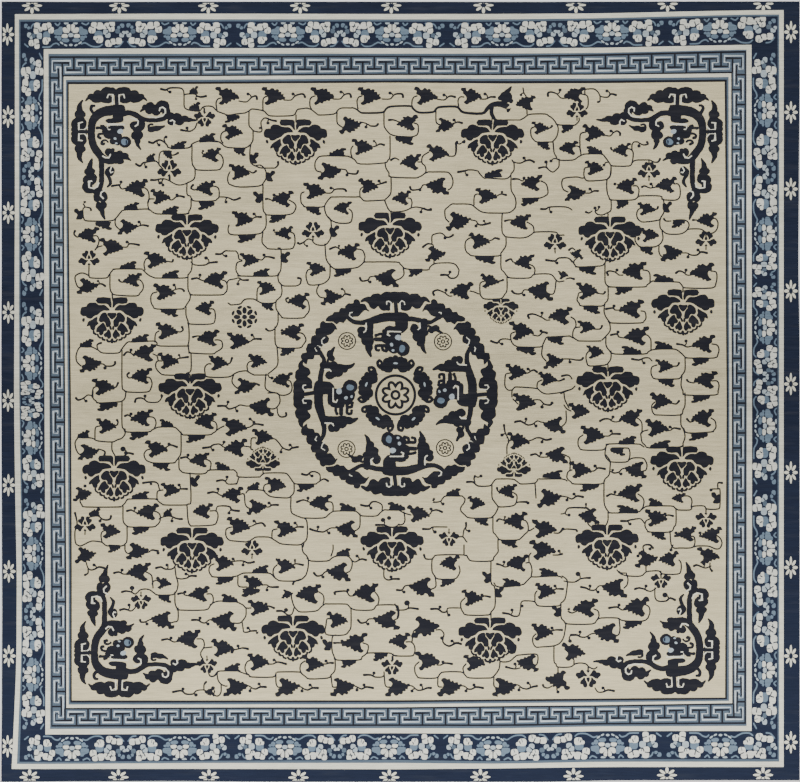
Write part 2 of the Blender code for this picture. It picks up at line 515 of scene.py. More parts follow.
twigs = [[(-29.8, 12.6), (-21.8, 12.4), (-17.8, 9.8), (-14, 8.9), (-11.8, 10.6)],
         [(10.6, 9.6), (14.2, 8.6), (18.2, 10.8), (22.2, 12.4), (28.2, 12.4), (31.2, 10.2)],
         [(-15.6, -10.6), (-13, -8.6), (-11, -10.9)], [(11.2, -10.9), (15.2, -9.2), (17.8, -11)],
         [(44, 12.6), (48, 11.8), (51.6, 7.6)], [(-47, 12.4), (-51, 9.6)], [(-33, -10.6), (-41, -9.8),
         (-43.6, -6)]]
lotusPlaces = {
    "top": (70.8, 179.8, 287.8, 392.0, 502.0, 612.0, 720.0),
    "bottom": (72.0, 179.7, 284.8, 388.8, 493.0, 607.7, 720.5),
    "left": (113.0, 234.4, 363.3, 438.0, 553.5, 674.7),
    "right": (110.3, 233.8, 327.6, 426.0, 548.4, 670.2),
}


def clump(dye, lobes):
    # squarish lobes run together and parted by thin dark slits
    made = []
    for x, y, r in lobes:
        ring = [(math.cos(math.pi * (k + 0.5) / 6), math.sin(math.pi * (k + 0.5) / 6)) for k in range(12)]
        made.append((dye, [(x + r * math.copysign(abs(c) ** 0.72, c), y + r * math.copysign(abs(s) ** 0.72,
            s))
                           for c, s in ring]))
    for (x0, y0, r0), (x1, y1, r1) in zip(lobes, lobes[1:]):
        mx, my = (x0 + x1) / 2, (y0 + y1) / 2
        long = math.hypot(x1 - x0, y1 - y0)
        nx, ny = (y1 - y0) / long * r1, (x0 - x1) / long * r1
        made += stroke("navy", [(mx + nx, my + ny), (mx - 0.2 * nx, my - 0.2 * ny)], 0.95)
    if dye == "cream":
        x, y, r = lobes[0]
        made += stroke("blue", [(x - 0.2 * r, y + 0.9 * r), (x, y)], 0.7)
    return made


def inBand(side, u, v):
    # a place on the flower band, u along it and v from its outer line, 0, to its inner one, 1
    outer, inner = lineAt(side, 2, u), lineAt(side, 3, u)
    across = outer + (inner - outer) * v
    return (u, across) if side in ("top", "bottom") else (across, u)


def drawFlowerBand(side):
    centres = lotusPlaces[side]
    ends = (22.0, 777.0) if side in ("top", "bottom") else (50.0, 732.0)
    for k, centre in enumerate(centres):
        before = (centre - centres[k - 1]) / 2 if k else centre - ends[0]
        after = (centres[k + 1] - centre) / 2 if k + 1 < len(centres) else ends[1] - centre
        sign = -1.0 if k % 2 else 1.0
        unit = list(bloom)
        for line in twigs:
            unit = brush("sky", line, 1.5) + unit
        for dye, lobes in clumps["right"] + clumps["left"]:
            shift = random.uniform(-0.35, 0.35)
            unit = unit + clump(dye, [(x, y + shift, r) for x, y, r in lobes])
        for dye, points in unit:
            moved = []
            for x, y in points:
                x *= sign
                room = after if x > 0 else before
                reach = min(abs(x), 17.0) + max(abs(x) - 17.0, 0.0) * (room - 17.0) / 37.0
                moved.append((centre + math.copysign(reach, x), (y + 12.5) / 27.0))
            if all(0.0 < v < 1.0 and ends[0] < u < ends[1] for u, v in moved):
                paint(dye, [inBand(side, u, v) for u, v in moved])
            else:
                held = [(min(max(u, ends[0]), ends[1]), min(max(v, 0.02), 0.98)) for u, v in moved]
                paint(dye, [inBand(side, u, v) for u, v in held])


# The field's motifs.
palmette = mirrored(
    outline("indigo", [(-14.5, -20), (-3, -20), (-1.3, -18), (-0.9, -10), (-3.2, -13.2), (-6, -14.7),
                       (-14.5, -14.9)], 2)
    + outline("indigo", [(-2.6, -8), (-5, -11), (-8, -12.7), (-13.5, -12.8), (-17, -14.9), (-22, -15),
                         (-24.6, -13), (-25.2, -11.3), (-29.6, -10.6), (-31.2, -8), (-31.2, -4),
                         (-29, -2.3), (-26.4, -2.4), (-25, -0.4), (-21.5, 0.4), (-18.6, -2),
                         (-14.5, -3.5), (-11.5, -6.4), (-8, -7.7)], 2)
    + outline("indigo", [(-15, -1), (-20, 2), (-23.5, 4.4), (-25, 8.3), (-22, 7.4), (-21, 10.5),
                         (-19, 12), (-17.3, 11), (-16.6, 7.8), (-14, 5.4), (-15.2, 3)], 2)
    + outline("indigo", [(-5.6, -4.8), (-9, -4.7), (-12, -1.6), (-12.8, 2), (-11, 3.9), (-8, 3.6),
                         (-6.4, 5.4), (-6, 7.6), (-4, 8.8), (-2, 7.4), (-1.5, 4.8), (-2.5, 1.5),
                         (-4.6, -1.5)], 2)
    + outline("indigo", [(-9, 5), (-12.5, 7.6), (-15, 11), (-15.6, 14.2), (-13, 13.6), (-12.4, 15.8),
                         (-10.6, 17.1), (-8.9, 15.8), (-8.6, 13.4), (-6, 12.4), (-5.5, 10.4),
                         (-7.3, 7.6)], 2)
    + outline("indigo", [(-3.8, 11.2), (-5.3, 14), (-7.8, 16.8), (-7, 18.9), (-5.2, 18.4),
                         (-4, 20.3), (-2.2, 20), (-0.9, 17.6), (-1.8, 14.4)], 2)
    + dab("indigo", -1.35, 10.0, 0.8, 2.0, -12)
    + stroke("indigo", [(-18.6, 13.2), (-18.2, 15), (-16.2, 16.5)], 1.3)
    + stroke("indigo", [(-14.2, 16.6), (-13.6, 18.6), (-12, 19.6)], 1.5)
    + stroke("indigo", [(-10, 19.8), (-9.2, 21.6), (-7.4, 22.1)], 1.5)
    + stroke("indigo", [(-5, 21.8), (-3.9, 23.3), (-2.4, 23.6)], 1.6)
    + dab("indigo", -28.4, 1.8, 1.0, 1.6)
) + outline("indigo", [(-4.2, -4.9), (0, -4.6), (4.2, -4.9), (3.3, -2), (0.8, 0.9), (-0.8, 0.9),
                       (-3.3, -2)], 2) + dab("indigo", 0, 23, 1.3, 2.3)
palmettePlaces = (
    (295.5, 140.0), (492.5, 140.0), (187.0, 235.0), (390.0, 233.0), (610.0, 237.0), (112.0, 318.0),
    (683.0, 310.0), (190.0, 394.0), (608.0, 387.0), (114.0, 476.0), (682.0, 467.0), (192.0, 548.0),
    (392.0, 547.0), (607.0, 545.0), (293.0, 636.0), (490.0, 638.0),
)


leafPoints = [(-10.4, -5.6), (-10, -8), (-7.6, -8.8), (-5.4, -8.4), (-4.8, -6.6), (-3, -5.8), (-1.4, -7.2),
              (0.6, -7.8), (2, -6.2), (4, -6.8), (5.2, -5.2), (4.8, -3.8), (7, -4), (7.6, -2.2), (9.6, -2),
              (10, -0.4), (11.4, 1.2), (10.4, 3), (8, 2.8), (7, 4.4), (4.6, 3.8), (3.6, 5.8), (1.4, 5.4),
              (0.4, 7.2), (-1.8, 6.8), (-3, 8.4), (-5.8, 8.2), (-7.4, 6.2), (-5.6, 4.6), (-4.4, 2.4),
              (-5.4, -0.4), (-7.8, -1.8), (-7.6, -4.4)]
halfLeafPoints = [(-7.6, 0.4), (-8.8, -1.6), (-8, -3.8), (-5.6, -4), (-4.8, -5.6), (-3, -5), (-2, -6.6), (0,
    -7),
                  (0.8, -6), (2.6, -7.8), (5, -8), (7.8, -7.4), (7.6, -5.6), (5.4, -4.8), (6.6, -3.2),
                  (6, -1.8), (6.8, 0.4)]
sideLeafPoints = [(-0.4, -3), (2, -3.5), (3.5, -2.8), (5, -5), (7, -5.5), (8.5, -4.5), (8.3, -2), (6.5, -0.5),
                  (5.5, 1), (6.8, 3.5), (5.5, 5.5), (2, 5.5), (0.5, 4), (-0.4, 1)]


def variants(points, count, jitter):
    # the same leaf as several hands of knots would work it
    made = []
    for k in range(count):
        moved = [(x + random.uniform(-jitter, jitter), y + random.uniform(-jitter, jitter)) for x,
            y in points]
        made.append(outline("indigo", moved, 2))
    return made


leaves = variants(leafPoints, 9, 0.45)
halfLeaves = variants(halfLeafPoints, 5, 0.35)
sideLeaves = variants(sideLeafPoints, 3, 0.3)

# The small lotus, with its stem above it, and the rosette.
smallLotus = mirrored(
    outline("indigo", [(-6.6, -4.7), (-5.5, -5.4), (-4.1, -5.1), (-2.6, -2.6), (-0.6, -0.2), (-2.4, 0.1),
    (-4, 0.4),
                       (-6.2, 1.8), (-8.4, 2.3), (-9.2, 1), (-10.8, -0.6), (-10.4, -2.6), (-8.8, -3.3),
                       (-7.2, -3.3)], 2)
    + outline("indigo", [(-3.7, 1.2), (-2.7, 1.3), (-2.4, 3.2), (-0.9, 6), (-0.7, 8.6), (-2.3, 9.7), (-4,
    9.3),
                         (-4.6, 7.2), (-6, 7), (-7, 6), (-6.6, 4), (-5, 2.8)], 2)
) + outline("indigo", [(-1.3, 1.2), (1.3, 1.2), (1.3, 3.1), (0, 5.4), (-1.3, 3.1)], 2)
smallLotus += [("indigo", [(-1.8, -5), (1.8, -5), (0, -2.6)])] + stroke("indigo", [(0, -8.4), (0, -4.8)], 1.3)
rosette = dab("indigo", 0, 0, 2.6, 2.4)
for k in range(8):
    a = math.radians(45 * k)
    rosette += dab("indigo", 7.6 * math.cos(a), 6.6 * math.sin(a), 3.5, 2.3, 45 * k)
    a = math.radians(45 * k + 22)
    rosette += dab("indigo", 12.2 * math.cos(a), 10.4 * math.sin(a), 1.4, 2.6, 45 * k + 22)

flowerPlaces = (  # the kind, x, y and size, below zero for one upside down
    ("small", 204.6, 117, 1), ("small", 169.2, 170.8, -1.12), ("small", 89, 260, -1), ("small", 313, 232,
    -1.05),
    ("rosette", 244.5, 317, 1), ("wide", 501, 310, 0.56), ("wide", 263, 460, -0.54), ("wide", 514, 466,
    -0.54),
    ("small", 555, 244, -1.05), ("small", 577, 112, -1), ("small", 649, 172, -1.05), ("small", 706, 241, -1),
    ("small", 85, 526, -1), ("small", 252, 550, -1), ("small", 449, 537, 0.95), ("small", 706, 518, 1),
    ("small", 207, 664, 0.95), ("small", 141, 600, 0.95), ("small", 392, 665, 1), ("small", 588.2, 676.2,
    1.16),
    ("small", 661, 579, 0.95),
)

# The field's chart, read row by row down the carpet. Each row gives a letter and its knots:
# v a vine through these points, t a tendril that thickens to its tip, b a bud and its radius,
# l a leaf with its facing and size, h a half leaf on a level vine, s a small leaf beside a vine.
fieldChart = """
t 184 105 184 94 183 90 180 88 170 88 166 90 161 89; b 170 92
v 184 105 185 108 189 110 199 111 203 107 208 106 213 107 217 111 222 113 228 115 236 114 245 113
v 245 113 249 111 252 109 260 110 264 111 268 115 272 116 285 116 294 115 297 110 300 109 307 108
v 307 108 312 110 317 114 320 115 334 114 338 110 342 108 352 108
t 184 95 187 94 195 94 197 96 201 97 206 96; h 194 94 9 UR; b 196 99 1.4; h 195 110 11 UR; v 204 108 204 112
t 197 123 195 128 191 131 187 131 181 130; b 187 128; l 227 96 Rd 1.05; v 217 110 216 103 218 99 221 98
t 239 101 246 102 250 99 252 97 256 96 257 99; b 248 94
t 220 142 201 141 196 142 192 144 188 148 170 148 167 145 164 142 160 140 156 141 153 143 149 142; b 159 145
b 166 137; v 165 142 164 139 165 137; v 200 142 214 141 219 142 222 144 226 147 234 148 245 148 250 145
h 208 141 16 UR; h 179 149 15 UR
v 192 144 192 150 192 162 194 167 198 170 217 170 221 168 223 164 223 159 221 155 219 154; l 212 155 Ld 0.85
t 206 155 203 154 202 152 203 151; v 159 165 159 158 160 153 163 151 170 151; h 168 151 9 DR
t 170 155 174 155 178 153; t 163 169 160 166 158 163 155 161 147 162 143 163 140 166 136 164; b 146 167
h 151 161 9 UR; v 195 168 195 176 193 180 187 183 185 184 180 185 175 184 170 181
t 170 181 165 179 160 179 156 180 151 180; v 170 177 170 180
v 187 183 187 194 190 196 192 199 195 201 213 201 217 199 219 197 219 190 217 187 213 186; l 206 188 Ld 0.9
t 197 189 194 190 191 188 193 185
v 191 199 191 207 189 211 186 214 160 214 154 213 150 210 146 209 125 210 121 212 117 217 114 220
v 114 220 108 221 88 221 84 219 83 214 83 209 85 207; t 85 207 90 208 91 210; t 85 207 84 205 83 203 85 202
h 171 214 16 UR; v 149 210 148 206 148 201 150 199 154 199; v 141 188 145 188 148 191 149 195 149 199 148 203
l 137 188 Ld 1.05; t 126 188 122 189 120 187 119 185 112 186; b 121 182; l 160 197 Rd 0.9
t 169 199 172 200 176 197 180 196 184 197; b 177 195; b 160 183 1.9; b 163 185 1.7; h 206 202 16 DL
t 219 197 224 197 229 198 234 200 240 198; b 226 202; h 132 210 15 UR; s 83 214 L; h 104 222 16 DR
v 116 218 115 222 116 226 119 229 121 230; l 127 227 Ru 0.9; t 134 228 139 226 143 225 148 226; b 139 222
v 223 143 221 140 221 135 223 132 226 131; l 232 132 Rd 0.9; h 232 115 14 DL
v 230 172 228 176 228 182 231 185 240 187 259 186 264 182 266 178 266 172 264 168 260 165 255 166
v 229 225 228 230 230 234 238 235 258 234 263 231 266 226 266 216 265 213; l 89 235 Ld 0.95
t 80 236 77 237 74 234 75 231; v 93 236 97 236 99 240 98 245 95 250; v 263 111 263 100 265 97 268 96
l 273 96 Rd 1.05; t 284 100 291 100 294 97 297 95 303 94 305 97; b 293 94; v 296 115 296 122
v 312 110 310 106 310 100 312 97 315 96; l 322 96 Rd 1.05; t 333 99 340 99 343 96 346 94 350 94 351 97
b 341 92; v 358 109 357 101 359 97 362 96; l 369 96 Rd 1.05; t 382 99 390 99 393 96 396 94 402 94 403 97
b 390 93; v 337 111 337 122 339 125 342 127; l 350 125 Ru 1.0
t 360 122 365 123 369 125 371 126 376 126 378 124; b 366 127; v 353 146 351 149 351 154 352 157
l 362 147 Rd 0.95; t 372 147 376 146 380 144 384 145; b 374 141 1.4; h 338 156 16 UR
v 390 136 390 156 388 160 384 163 360 164 355 160 350 157 344 156 322 156 317 159 315 163 315 168
v 315 168 317 171 321 172; l 329 171 Ru 1.05; t 341 169 346 170 348 173 356 174 358 171; b 347 175
l 314 191 Rd 1.0; t 325 193 331 193 334 190 337 189 344 189 346 191; b 331 188
v 304 192 301 194 301 202 303 205 306 207 322 207 325 205; h 314 207 14 DR; l 368 186 Rd 0.9
t 376 185 380 184 386 182; b 379 181; v 360 197 360 190 363 187; l 239 172 Rd 0.95; t 249 171 253 173 256 171
l 283 199 Ld 0.95; t 273 201 269 199 266 199; b 274 195
v 289 200 294 203 296 207 293 213 285 215 268 215 265 213 263 208 263 184; l 343 208 Ld 0.8
v 349 209 352 212 352 219 349 223 338 223 331 220 327 216 325 211 325 205 330 198 334 197 355 197
v 355 197 360 197 363 200 367 201 385 200; l 242 219 Rd 0.95; t 252 219 256 217 261 217; b 254 214
l 285 233 Ld 0.8; t 278 232 274 232 274 230
v 290 232 294 234 295 241 294 246 290 249 270 249 266 247 262 242 263 232; s 330 231 R; s 266 176 R
s 250 158 R; s 262 197 L; h 240 148 12 DR; h 277 215 16 DL; h 246 235 18 DL
v 249 112 249 125 251 128 254 131 260 132 262 130 261 125 261 122; t 261 122 263 119 266 118 271 120 276 121
b 268 123; b 260 128 1.4; v 253 131 253 140 251 144 250 150 250 160 252 164 256 166 261 168 275 168
t 272 168 275 168 278 165 278 162; v 390 134 388 132 385 128 384 124 384 112
v 385 163 386 168 389 173 391 177 414 178 419 177 424 174 426 171 425 166 422 163 422 158 424 155 429 152
v 391 177 391 192 388 197 385 200 386 204 389 210 393 212 404 211 411 208; v 391 211 391 217
v 327 216 331 221 331 236 329 241 325 245 318 245 314 243 312 240; t 312 240 308 239 304 242 300 244 298 243
b 307 246 1.4; v 410 137 396 136 390 134; t 399 122 394 120 389 120; t 399 160 395 158 391 160
v 412 108 412 101 414 97 417 96; l 425 96 Rd 1.05; t 437 99 444 100 448 97 451 96 455 97; b 444 95
v 459 108 458 101 460 97 464 97; l 471 96 Rd 0.95; t 480 99 486 99 490 97 495 97; b 485 94
l 526 103 Ld 0.9 60; v 526 96 524 93 523 88; b 521 95 1.5; v 527 114 527 110; l 408 123 Ld 0.95
v 414 123 418 125 418 133 415 136 410 137; l 445 125 Ru 0.85; v 436 110 436 121 438 124 441 125
t 450 125 455 123 458 122 462 123; b 454 120; h 405 137 18 DR; l 437 153 Rd 1.0
t 448 156 454 156 456 152 456 143; b 463 142 1.4; b 457 142 1.5; l 411 162 Ld 0.95; v 418 162 422 162
l 438 186 Lu 1.05; t 427 185 423 185 420 189 412 190 410 187; b 420 190 1.6
v 424 174 428 172 432 172 445 172 449 173 452 177 453 183 451 188 448 190; l 402 198 Ld 0.85
v 408 198 411 199 412 203 411 208; t 411 208 416 207 422 208 424 209 428 210 431 209; b 421 212
l 532 183 Ld 0.95; t 522 181 518 179 513 179; b 524 178; l 486 196 Rd 0.95; t 497 196 501 194 506 195
b 502 192 1.4; l 458 221 Ru 1.1; t 471 220 476 221 478 224 482 225 490 223; b 476 226; b 484 221 1.4
l 521 222 Ld 0.95; t 514 220 509 220 505 221; l 540 128 Rd 0.75; t 546 128 550 128 552 126; h 544 142 12 DR
h 494 177 18 UR; h 529 198 17 DL
v 520 120 524 118 528 115 533 114 545 114 549 116 553 119 556 123 558 127 558 132 556 138 552 142
v 552 142 546 142 537 142 533 139 531 135 531 129 534 127; v 556 124 560 125 570 125 575 125 579 121 579 118
t 567 98 561 98 557 94 555 93 551 92 548 93 548 96; b 560 90
v 553 141 554 152 556 156 559 160 573 160 578 157 582 155 586 154 601 154 605 157 608 161 610 164
v 610 164 613 166 629 166 632 163 634 161 638 160 650 160; v 559 159 559 166 557 169 553 172 549 170 546 166
t 549 170 545 167 539 168; b 546 162 1.9; b 551 161 1.7; t 424 208 428 210 431 210
v 474 205 474 199 475 195 478 194
v 449 222 446 219 445 215 445 210 448 207 452 204 456 204 466 204 472 205 477 209 482 212 488 213
v 488 213 507 213 512 211 515 208 516 203 515 197 512 192 511 188 511 178 511 174 514 170 514 163
v 514 163 512 160; v 511 175 508 178 502 179 488 178 484 178 480 174 478 171
t 478 171 473 170 468 170 464 171 458 172; b 467 175; t 514 162 517 163 521 163 525 161 530 160 534 162
b 524 158; v 541 181 545 183 547 186 548 193 545 196 540 198 534 198
v 503 213 502 216 502 231 504 235 507 237 520 238 527 237 532 234 536 232 555 232 558 235 564 235
v 527 222 533 226 534 232; t 572 210 566 207 550 207 546 209 541 209; b 551 212; l 575 95 Ld 0.95
v 581 94 586 95 588 98 588 106 586 109; v 585 95 585 90 588 89 594 89 598 92 600 96
t 600 96 603 97 608 97 611 94 616 95; b 607 91; t 600 96 600 101 598 102; l 593 133 Rd 1.0
t 604 135 610 136 613 133 617 131 620 133 620 135; b 611 131; l 569 148 Ld 0.85
v 573 147 577 146 580 148 581 155; h 594 154 15 UL; h 567 125 12 DL; l 594 168 Rd 0.85; b 604 165 1.6
v 590 167 585 168 584 172 584 176 586 180 590 181 604 180 609 178 611 173 611 166; l 622 150 Ld 0.8
t 616 150 612 150 611 148; v 625 149 630 149 633 152 633 158 632 163; l 575 193 Ru 0.95
t 583 193 590 193 594 191 598 191; b 590 189; l 627 186 Ld 0.95; b 615 184 1.7; l 667 185 Ld 0.95
t 656 187 650 188 645 186 642 187; b 651 184; l 646 209 Rd 0.8; t 653 209 657 209 658 207; l 707 220 Ld 0.9
t 697 220 693 220; h 678 220 13 DL; t 671 221 666 221 664 219; h 622 201 12 DL; s 663 207 R
v 580 150 580 136 582 133 586 132; t 650 160 654 162 658 162 660 159; v 632 150 632 145 634 142 638 142
t 638 142 641 144 644 145 648 144 647 142; b 639 146 1.8; v 649 160 649 165
v 611 168 610 176 607 180 607 191 609 197 612 200 632 200 637 198 640 196 660 196 662 199 665 200
v 665 200 676 200 680 196 680 188 678 184 674 184; v 638 197 639 190 637 186 633 186
v 611 200 611 210 607 213 602 215 597 214 595 211; b 595 208 1.8; b 599 207 1.6; t 592 211 589 213 586 212
v 608 214 608 222; v 584 178 581 178 577 177 565 178 562 181 562 186 564 190 568 192
v 663 199 664 203 664 212 661 217 659 220 645 222 640 221 637 217 637 212 639 209 642 208
v 660 219 660 227 663 231 668 234 680 234 686 231 689 226 688 222 684 220 676 220
v 687 230 690 229 700 229 704 231 707 233 713 233 717 229 718 223 716 219 712 218; v 706 232 706 236
l 111 247 Rd 1.05; t 122 247 127 247 129 244 134 244 139 245; b 127 242; v 102 246 98 247 95 250
h 129 269 16 UR; l 155 260 Rd 1.0; t 166 261 172 262 173 260; v 145 270 144 264 146 259 149 258
h 171 278 17 UR; l 216 280 Ld 1.05; t 205 281 201 280 197 278 192 279; b 200 275; l 133 280 Ld 0.85
t 126 282 121 282 119 280; l 87 286 Ru 0.95; t 95 285 99 284 102 284 105 286; b 98 281 1.4; l 164 292 Rd 1.0
t 172 291 177 289 182 289 184 291; b 174 285; l 205 308 Ld 0.85; h 170 309 17 DR; l 166 331 Rd 1.0
t 176 331 180 332 183 330 182 327; l 209 338 Ld 1.0; t 201 336 197 336 193 337; h 141 342 17 UR
h 87 347 13 UR; l 145 353 Ld 1.05; t 134 356 131 353 127 352 124 355; b 131 350; l 90 364 Ru 1.0
t 98 364 103 364 106 366 112 366 115 364 115 362; b 105 368 1.9; l 168 361 Rd 0.95; t 177 359 181 358 188 357
b 179 355 1.4; l 218 363 Rd 0.9; t 226 364 230 363 232 358; l 142 376 Ld 0.95
t 133 377 129 378 127 375 129 373; l 103 387 Rd 1.0; t 113 387 116 387 118 383
v 89 276 86 274 82 273 78 274 75 277 76 283 78 287 81 288
v 89 268 89 276 92 278 106 278 109 275 112 271 116 269 140 269 143 270 146 273 150 276 155 278
v 155 278 185 278 188 275 191 271 192 266 192 258; t 191 262 195 265 205 265 209 263 217 262; b 206 258 2
v 110 274 110 288 112 293 116 295 136 296 140 293 143 289 143 284 140 280 137 280; v 112 294 113 301
v 188 276 188 289 190 294 190 299 187 304 185 307 182 309 157 309 153 306 151 302 151 296 153 293
v 153 293 157 292; v 190 294 193 295 220 295 225 293 227 290 227 284 225 281 222 280
v 227 283 229 280 234 279 239 278 242 280; t 239 278 242 280 248 280; b 238 284 1.8
t 236 251 230 251 225 251 221 254 216 254; b 226 256
v 186 307 186 315 188 321 190 324 211 324 215 320 215 312 213 309 209 309; v 188 321 189 330 189 340 188 345
v 189 346 160 346 157 343 153 341 134 342 128 342 124 346 121 350 118 353 103 353 98 350 92 347
v 92 347 86 346 80 347 77 352 76 357 77 362 81 366; t 98 350 97 346 98 344 101 343
v 155 342 155 337 156 333 159 331; v 188 345 189 351 191 353 212 354 216 352 222 348 222 342 219 340 215 340
v 191 353 191 370 187 373 183 375 165 375 160 373 156 368 156 363 158 361 162 361; v 153 354 157 356 158 360
v 122 350 122 385 124 390 128 392 147 392 151 388 152 383 150 378 146 377; v 187 373 190 375 190 381
v 211 364 208 364 205 367 205 373 208 377 228 377 234 374 238 372 243 371 247 371 250 373 254 375
v 254 375 267 375 268 374 273 370 277 366 278 360 277 347; v 92 397 93 389 95 387 98 386; l 249 260 Rd 0.85
t 257 259 262 260 265 257 270 257 274 258; b 264 255; s 281 257 R; h 262 276 16 UR; l 316 269 Rd 0.85
h 342 269 17 DL; l 349 252 Ld 1.0; t 341 250 338 248 335 247 330 249; b 339 246 1.4; l 387 278 Lu 1.1
t 376 276 370 277 368 280 362 281 360 278; b 370 282; l 266 288 Rd 0.85; l 299 301 Ld 0.95
t 292 302 287 302 286 299 288 298; l 331 297 Ru 0.95; t 338 297 342 297 345 294 350 295; b 342 289 1.5
h 268 303 12 DR; l 238 341 Rd 1.0; t 247 342 251 341 254 339 261 339; b 252 335; l 293 332 Ld 1.0
t 284 333 281 332 282 330; h 287 348 14 DL; l 257 361 Rd 0.85; l 283 380 Ld 0.9; b 272 378 1.8
l 245 386 Ru 0.95; t 250 384 254 383 259 385; v 236 251 238 254 239 259 242 260
v 242 261 237 263 236 270 238 274 241 276 275 276 279 273 281 268 281 250 278 248
v 278 274 278 278 279 282 282 285 285 286 296 286; t 296 286 300 284 301 279 298 278
v 281 284 282 290 281 296 277 300 274 303 262 303 256 300 253 299 246 299 243 301 240 304 231 305
v 231 305 228 303; v 257 300 257 293 258 288 261 286
v 276 301 276 308 278 312 281 316 284 318 302 318 306 315 309 311 309 305 307 300 303 300
v 278 313 278 322 276 327 273 330 269 331; t 273 330 269 331 266 329
v 275 327 275 340 276 345 280 348 299 348 303 345 306 340 304 335 301 333 297 333
v 248 372 247 366 249 362 253 361; v 234 374 232 380 233 384 237 388 241 389
v 266 374 265 386 267 390 271 392 276 393 280 395 286 395 291 392 292 386 290 381 286 380
v 325 244 326 258 329 264 333 268 337 269 355 268 361 265 364 262 366 262 396 262 400 264 403 267
v 403 267 407 269 427 270 430 267 434 264 440 263 451 263 456 265 459 270
v 364 261 365 257 364 253 362 250 357 249
v 330 264 330 275 328 280 322 284 310 285 307 281 306 275 308 270 312 269
v 319 285 317 289 317 293 320 297 325 298; l 435 254 Ru 0.9; v 434 264 434 259
t 434 249 433 245 431 244 427 244 423 247; l 479 241 Rd 0.95; t 489 241 492 240 495 238 499 239
v 474 238 470 238 466 241 465 246 466 251 469 254 474 256 498 256 501 253 504 249 506 245 506 237
h 486 256 20 DR; l 525 262 Ld 0.9; t 518 263 513 262 511 259 506 261; v 528 264 533 266 535 270 534 275
l 489 281 Rd 0.85; t 497 281 500 281 503 280; l 462 291 Ld 1.05
t 452 296 449 296 445 293 441 291 437 290 433 292 434 295; b 446 290; v 470 291 474 292 479 294
l 541 291 Lu 1.15; t 528 290 524 290 522 293 518 294 514 293 512 291; b 524 295
v 549 294 553 294 555 290 556 281; l 521 331 Rd 1.1; t 533 335 538 336 541 334 543 332 547 333; b 541 331
v 515 332 511 334 511 340 513 344 516 346 520 347 540 347 543 344 545 340 547 337 550 337 570 336
v 570 336 573 338; t 511 340 507 339 503 339 500 340 497 343 491 341; b 502 344; h 527 347 19 DR
h 556 337 16 DR; l 553 361 Ru 0.9; v 543 345 542 350 542 356 546 361
t 561 359 570 359 576 360 581 360 583 358; b 570 362; l 516 372 Rd 0.95
t 524 373 528 373 531 371 534 370 537 372; b 528 369; v 511 373 506 374 505 379 505 386 508 390 512 390
l 547 379 Rd 0.85; t 555 380 559 381 564 379; v 542 380 538 382 537 387 539 390 543 393 549 394 564 392
v 512 397 512 391 514 388 517 387 533 388 538 389; t 459 270 458 275 455 278 450 278 447 275 441 275
b 450 272; v 403 267 404 274 401 278 397 280 393 281; h 415 269 14 DL
v 432 243 432 236 435 234 440 233 443 234; t 440 233 443 234 446 237 450 237 453 235; b 445 238
v 501 255 501 268 504 272 507 276 511 278 529 278 533 275 538 274 549 274 553 276 556 280 559 282
v 559 282 564 281; v 507 277 507 290 505 294 502 298 498 299 485 299 481 296 480 292 480 284 482 282 485 281
v 502 298 502 303; t 572 262 568 258 559 258 555 261 546 260; b 557 263; l 561 316 Ld 1.05
t 550 320 546 320 543 318 539 316 533 314 528 315 529 318; b 542 313; l 577 254 Lu 0.6
t 575 250 572 248 569 250; v 561 258 568 258 572 261 575 265 578 267 600 266 604 264 606 261 608 258
v 574 264 574 261 577 258; h 588 267 17 DR; l 671 253 Ru 1.0
t 681 253 687 253 691 255 697 255 701 252 707 253; b 688 257; b 698 250; h 647 247 13 DR; l 649 235 Rd 0.85
v 662 231 663 238 661 243 657 246 653 247 641 247 637 244 635 240 636 236 640 235
v 659 246 659 252 661 256 665 258; l 635 271 Ld 1.1; t 623 275 619 275 615 272 610 271 607 272 608 275
b 617 270; l 703 272 Ld 1.1; t 691 275 687 275 683 272 679 271 676 273; b 686 270; h 663 282 20 UL
l 587 291 Rd 1.0; t 597 293 603 294 605 292; h 623 287 17 DL; h 592 306 16 DR; l 632 309 Ld 1.1
t 621 310 615 310 613 308 606 309; b 614 306; v 571 317 575 320 576 325 575 328; l 586 327 Rd 0.8
t 593 329 600 329 602 326; l 637 336 Ld 1.1; t 625 338 619 337 617 334 611 335; b 618 332; h 631 354 19 UL
h 663 349 18 UL; l 704 344 Ld 1.05; t 692 346 687 347 683 345 677 344; b 686 341; l 595 352 Rd 0.8
h 700 358 17 DL; l 664 366 Rd 0.8; t 671 366 677 366 679 363; l 706 380 Ld 1.05; t 694 383 689 382 687 380
h 667 379 16 DR; t 652 361 649 358 644 358 639 360 632 359; b 644 363; l 563 275 Rd 0.5
t 566 279 570 278 574 279; t 575 386 572 389 566 391 561 393; t 572 379 570 376 567 375 562 376
v 605 263 605 280 606 284 608 286 612 287 643 287 647 285 651 282 655 281 676 282 680 283 683 287
v 683 287 687 288 712 288 716 283 717 277 716 272 711 271; v 650 283 650 275 648 271 643 270
v 683 287 683 292; v 608 286 608 299 605 303 602 306 582 306 579 303 577 300 578 296 579 293 583 292
v 605 303 604 310 605 315 608 320 612 323 640 323 644 321 646 318 645 312 641 311
v 609 321 610 325 610 331 606 336 602 340 599 341 580 341 577 340 573 337 573 332 575 328 580 327
v 606 337 606 345 609 350 615 354 644 354 648 352 652 350 660 349 673 349 677 350 681 353 685 357
v 685 357 688 358 714 358 718 354 719 349 717 345 712 344; v 651 350 651 341 650 338 647 335 643 335
v 611 351 611 358 609 362 605 365 590 366 587 363 586 356 588 352 591 351; v 608 365 608 371
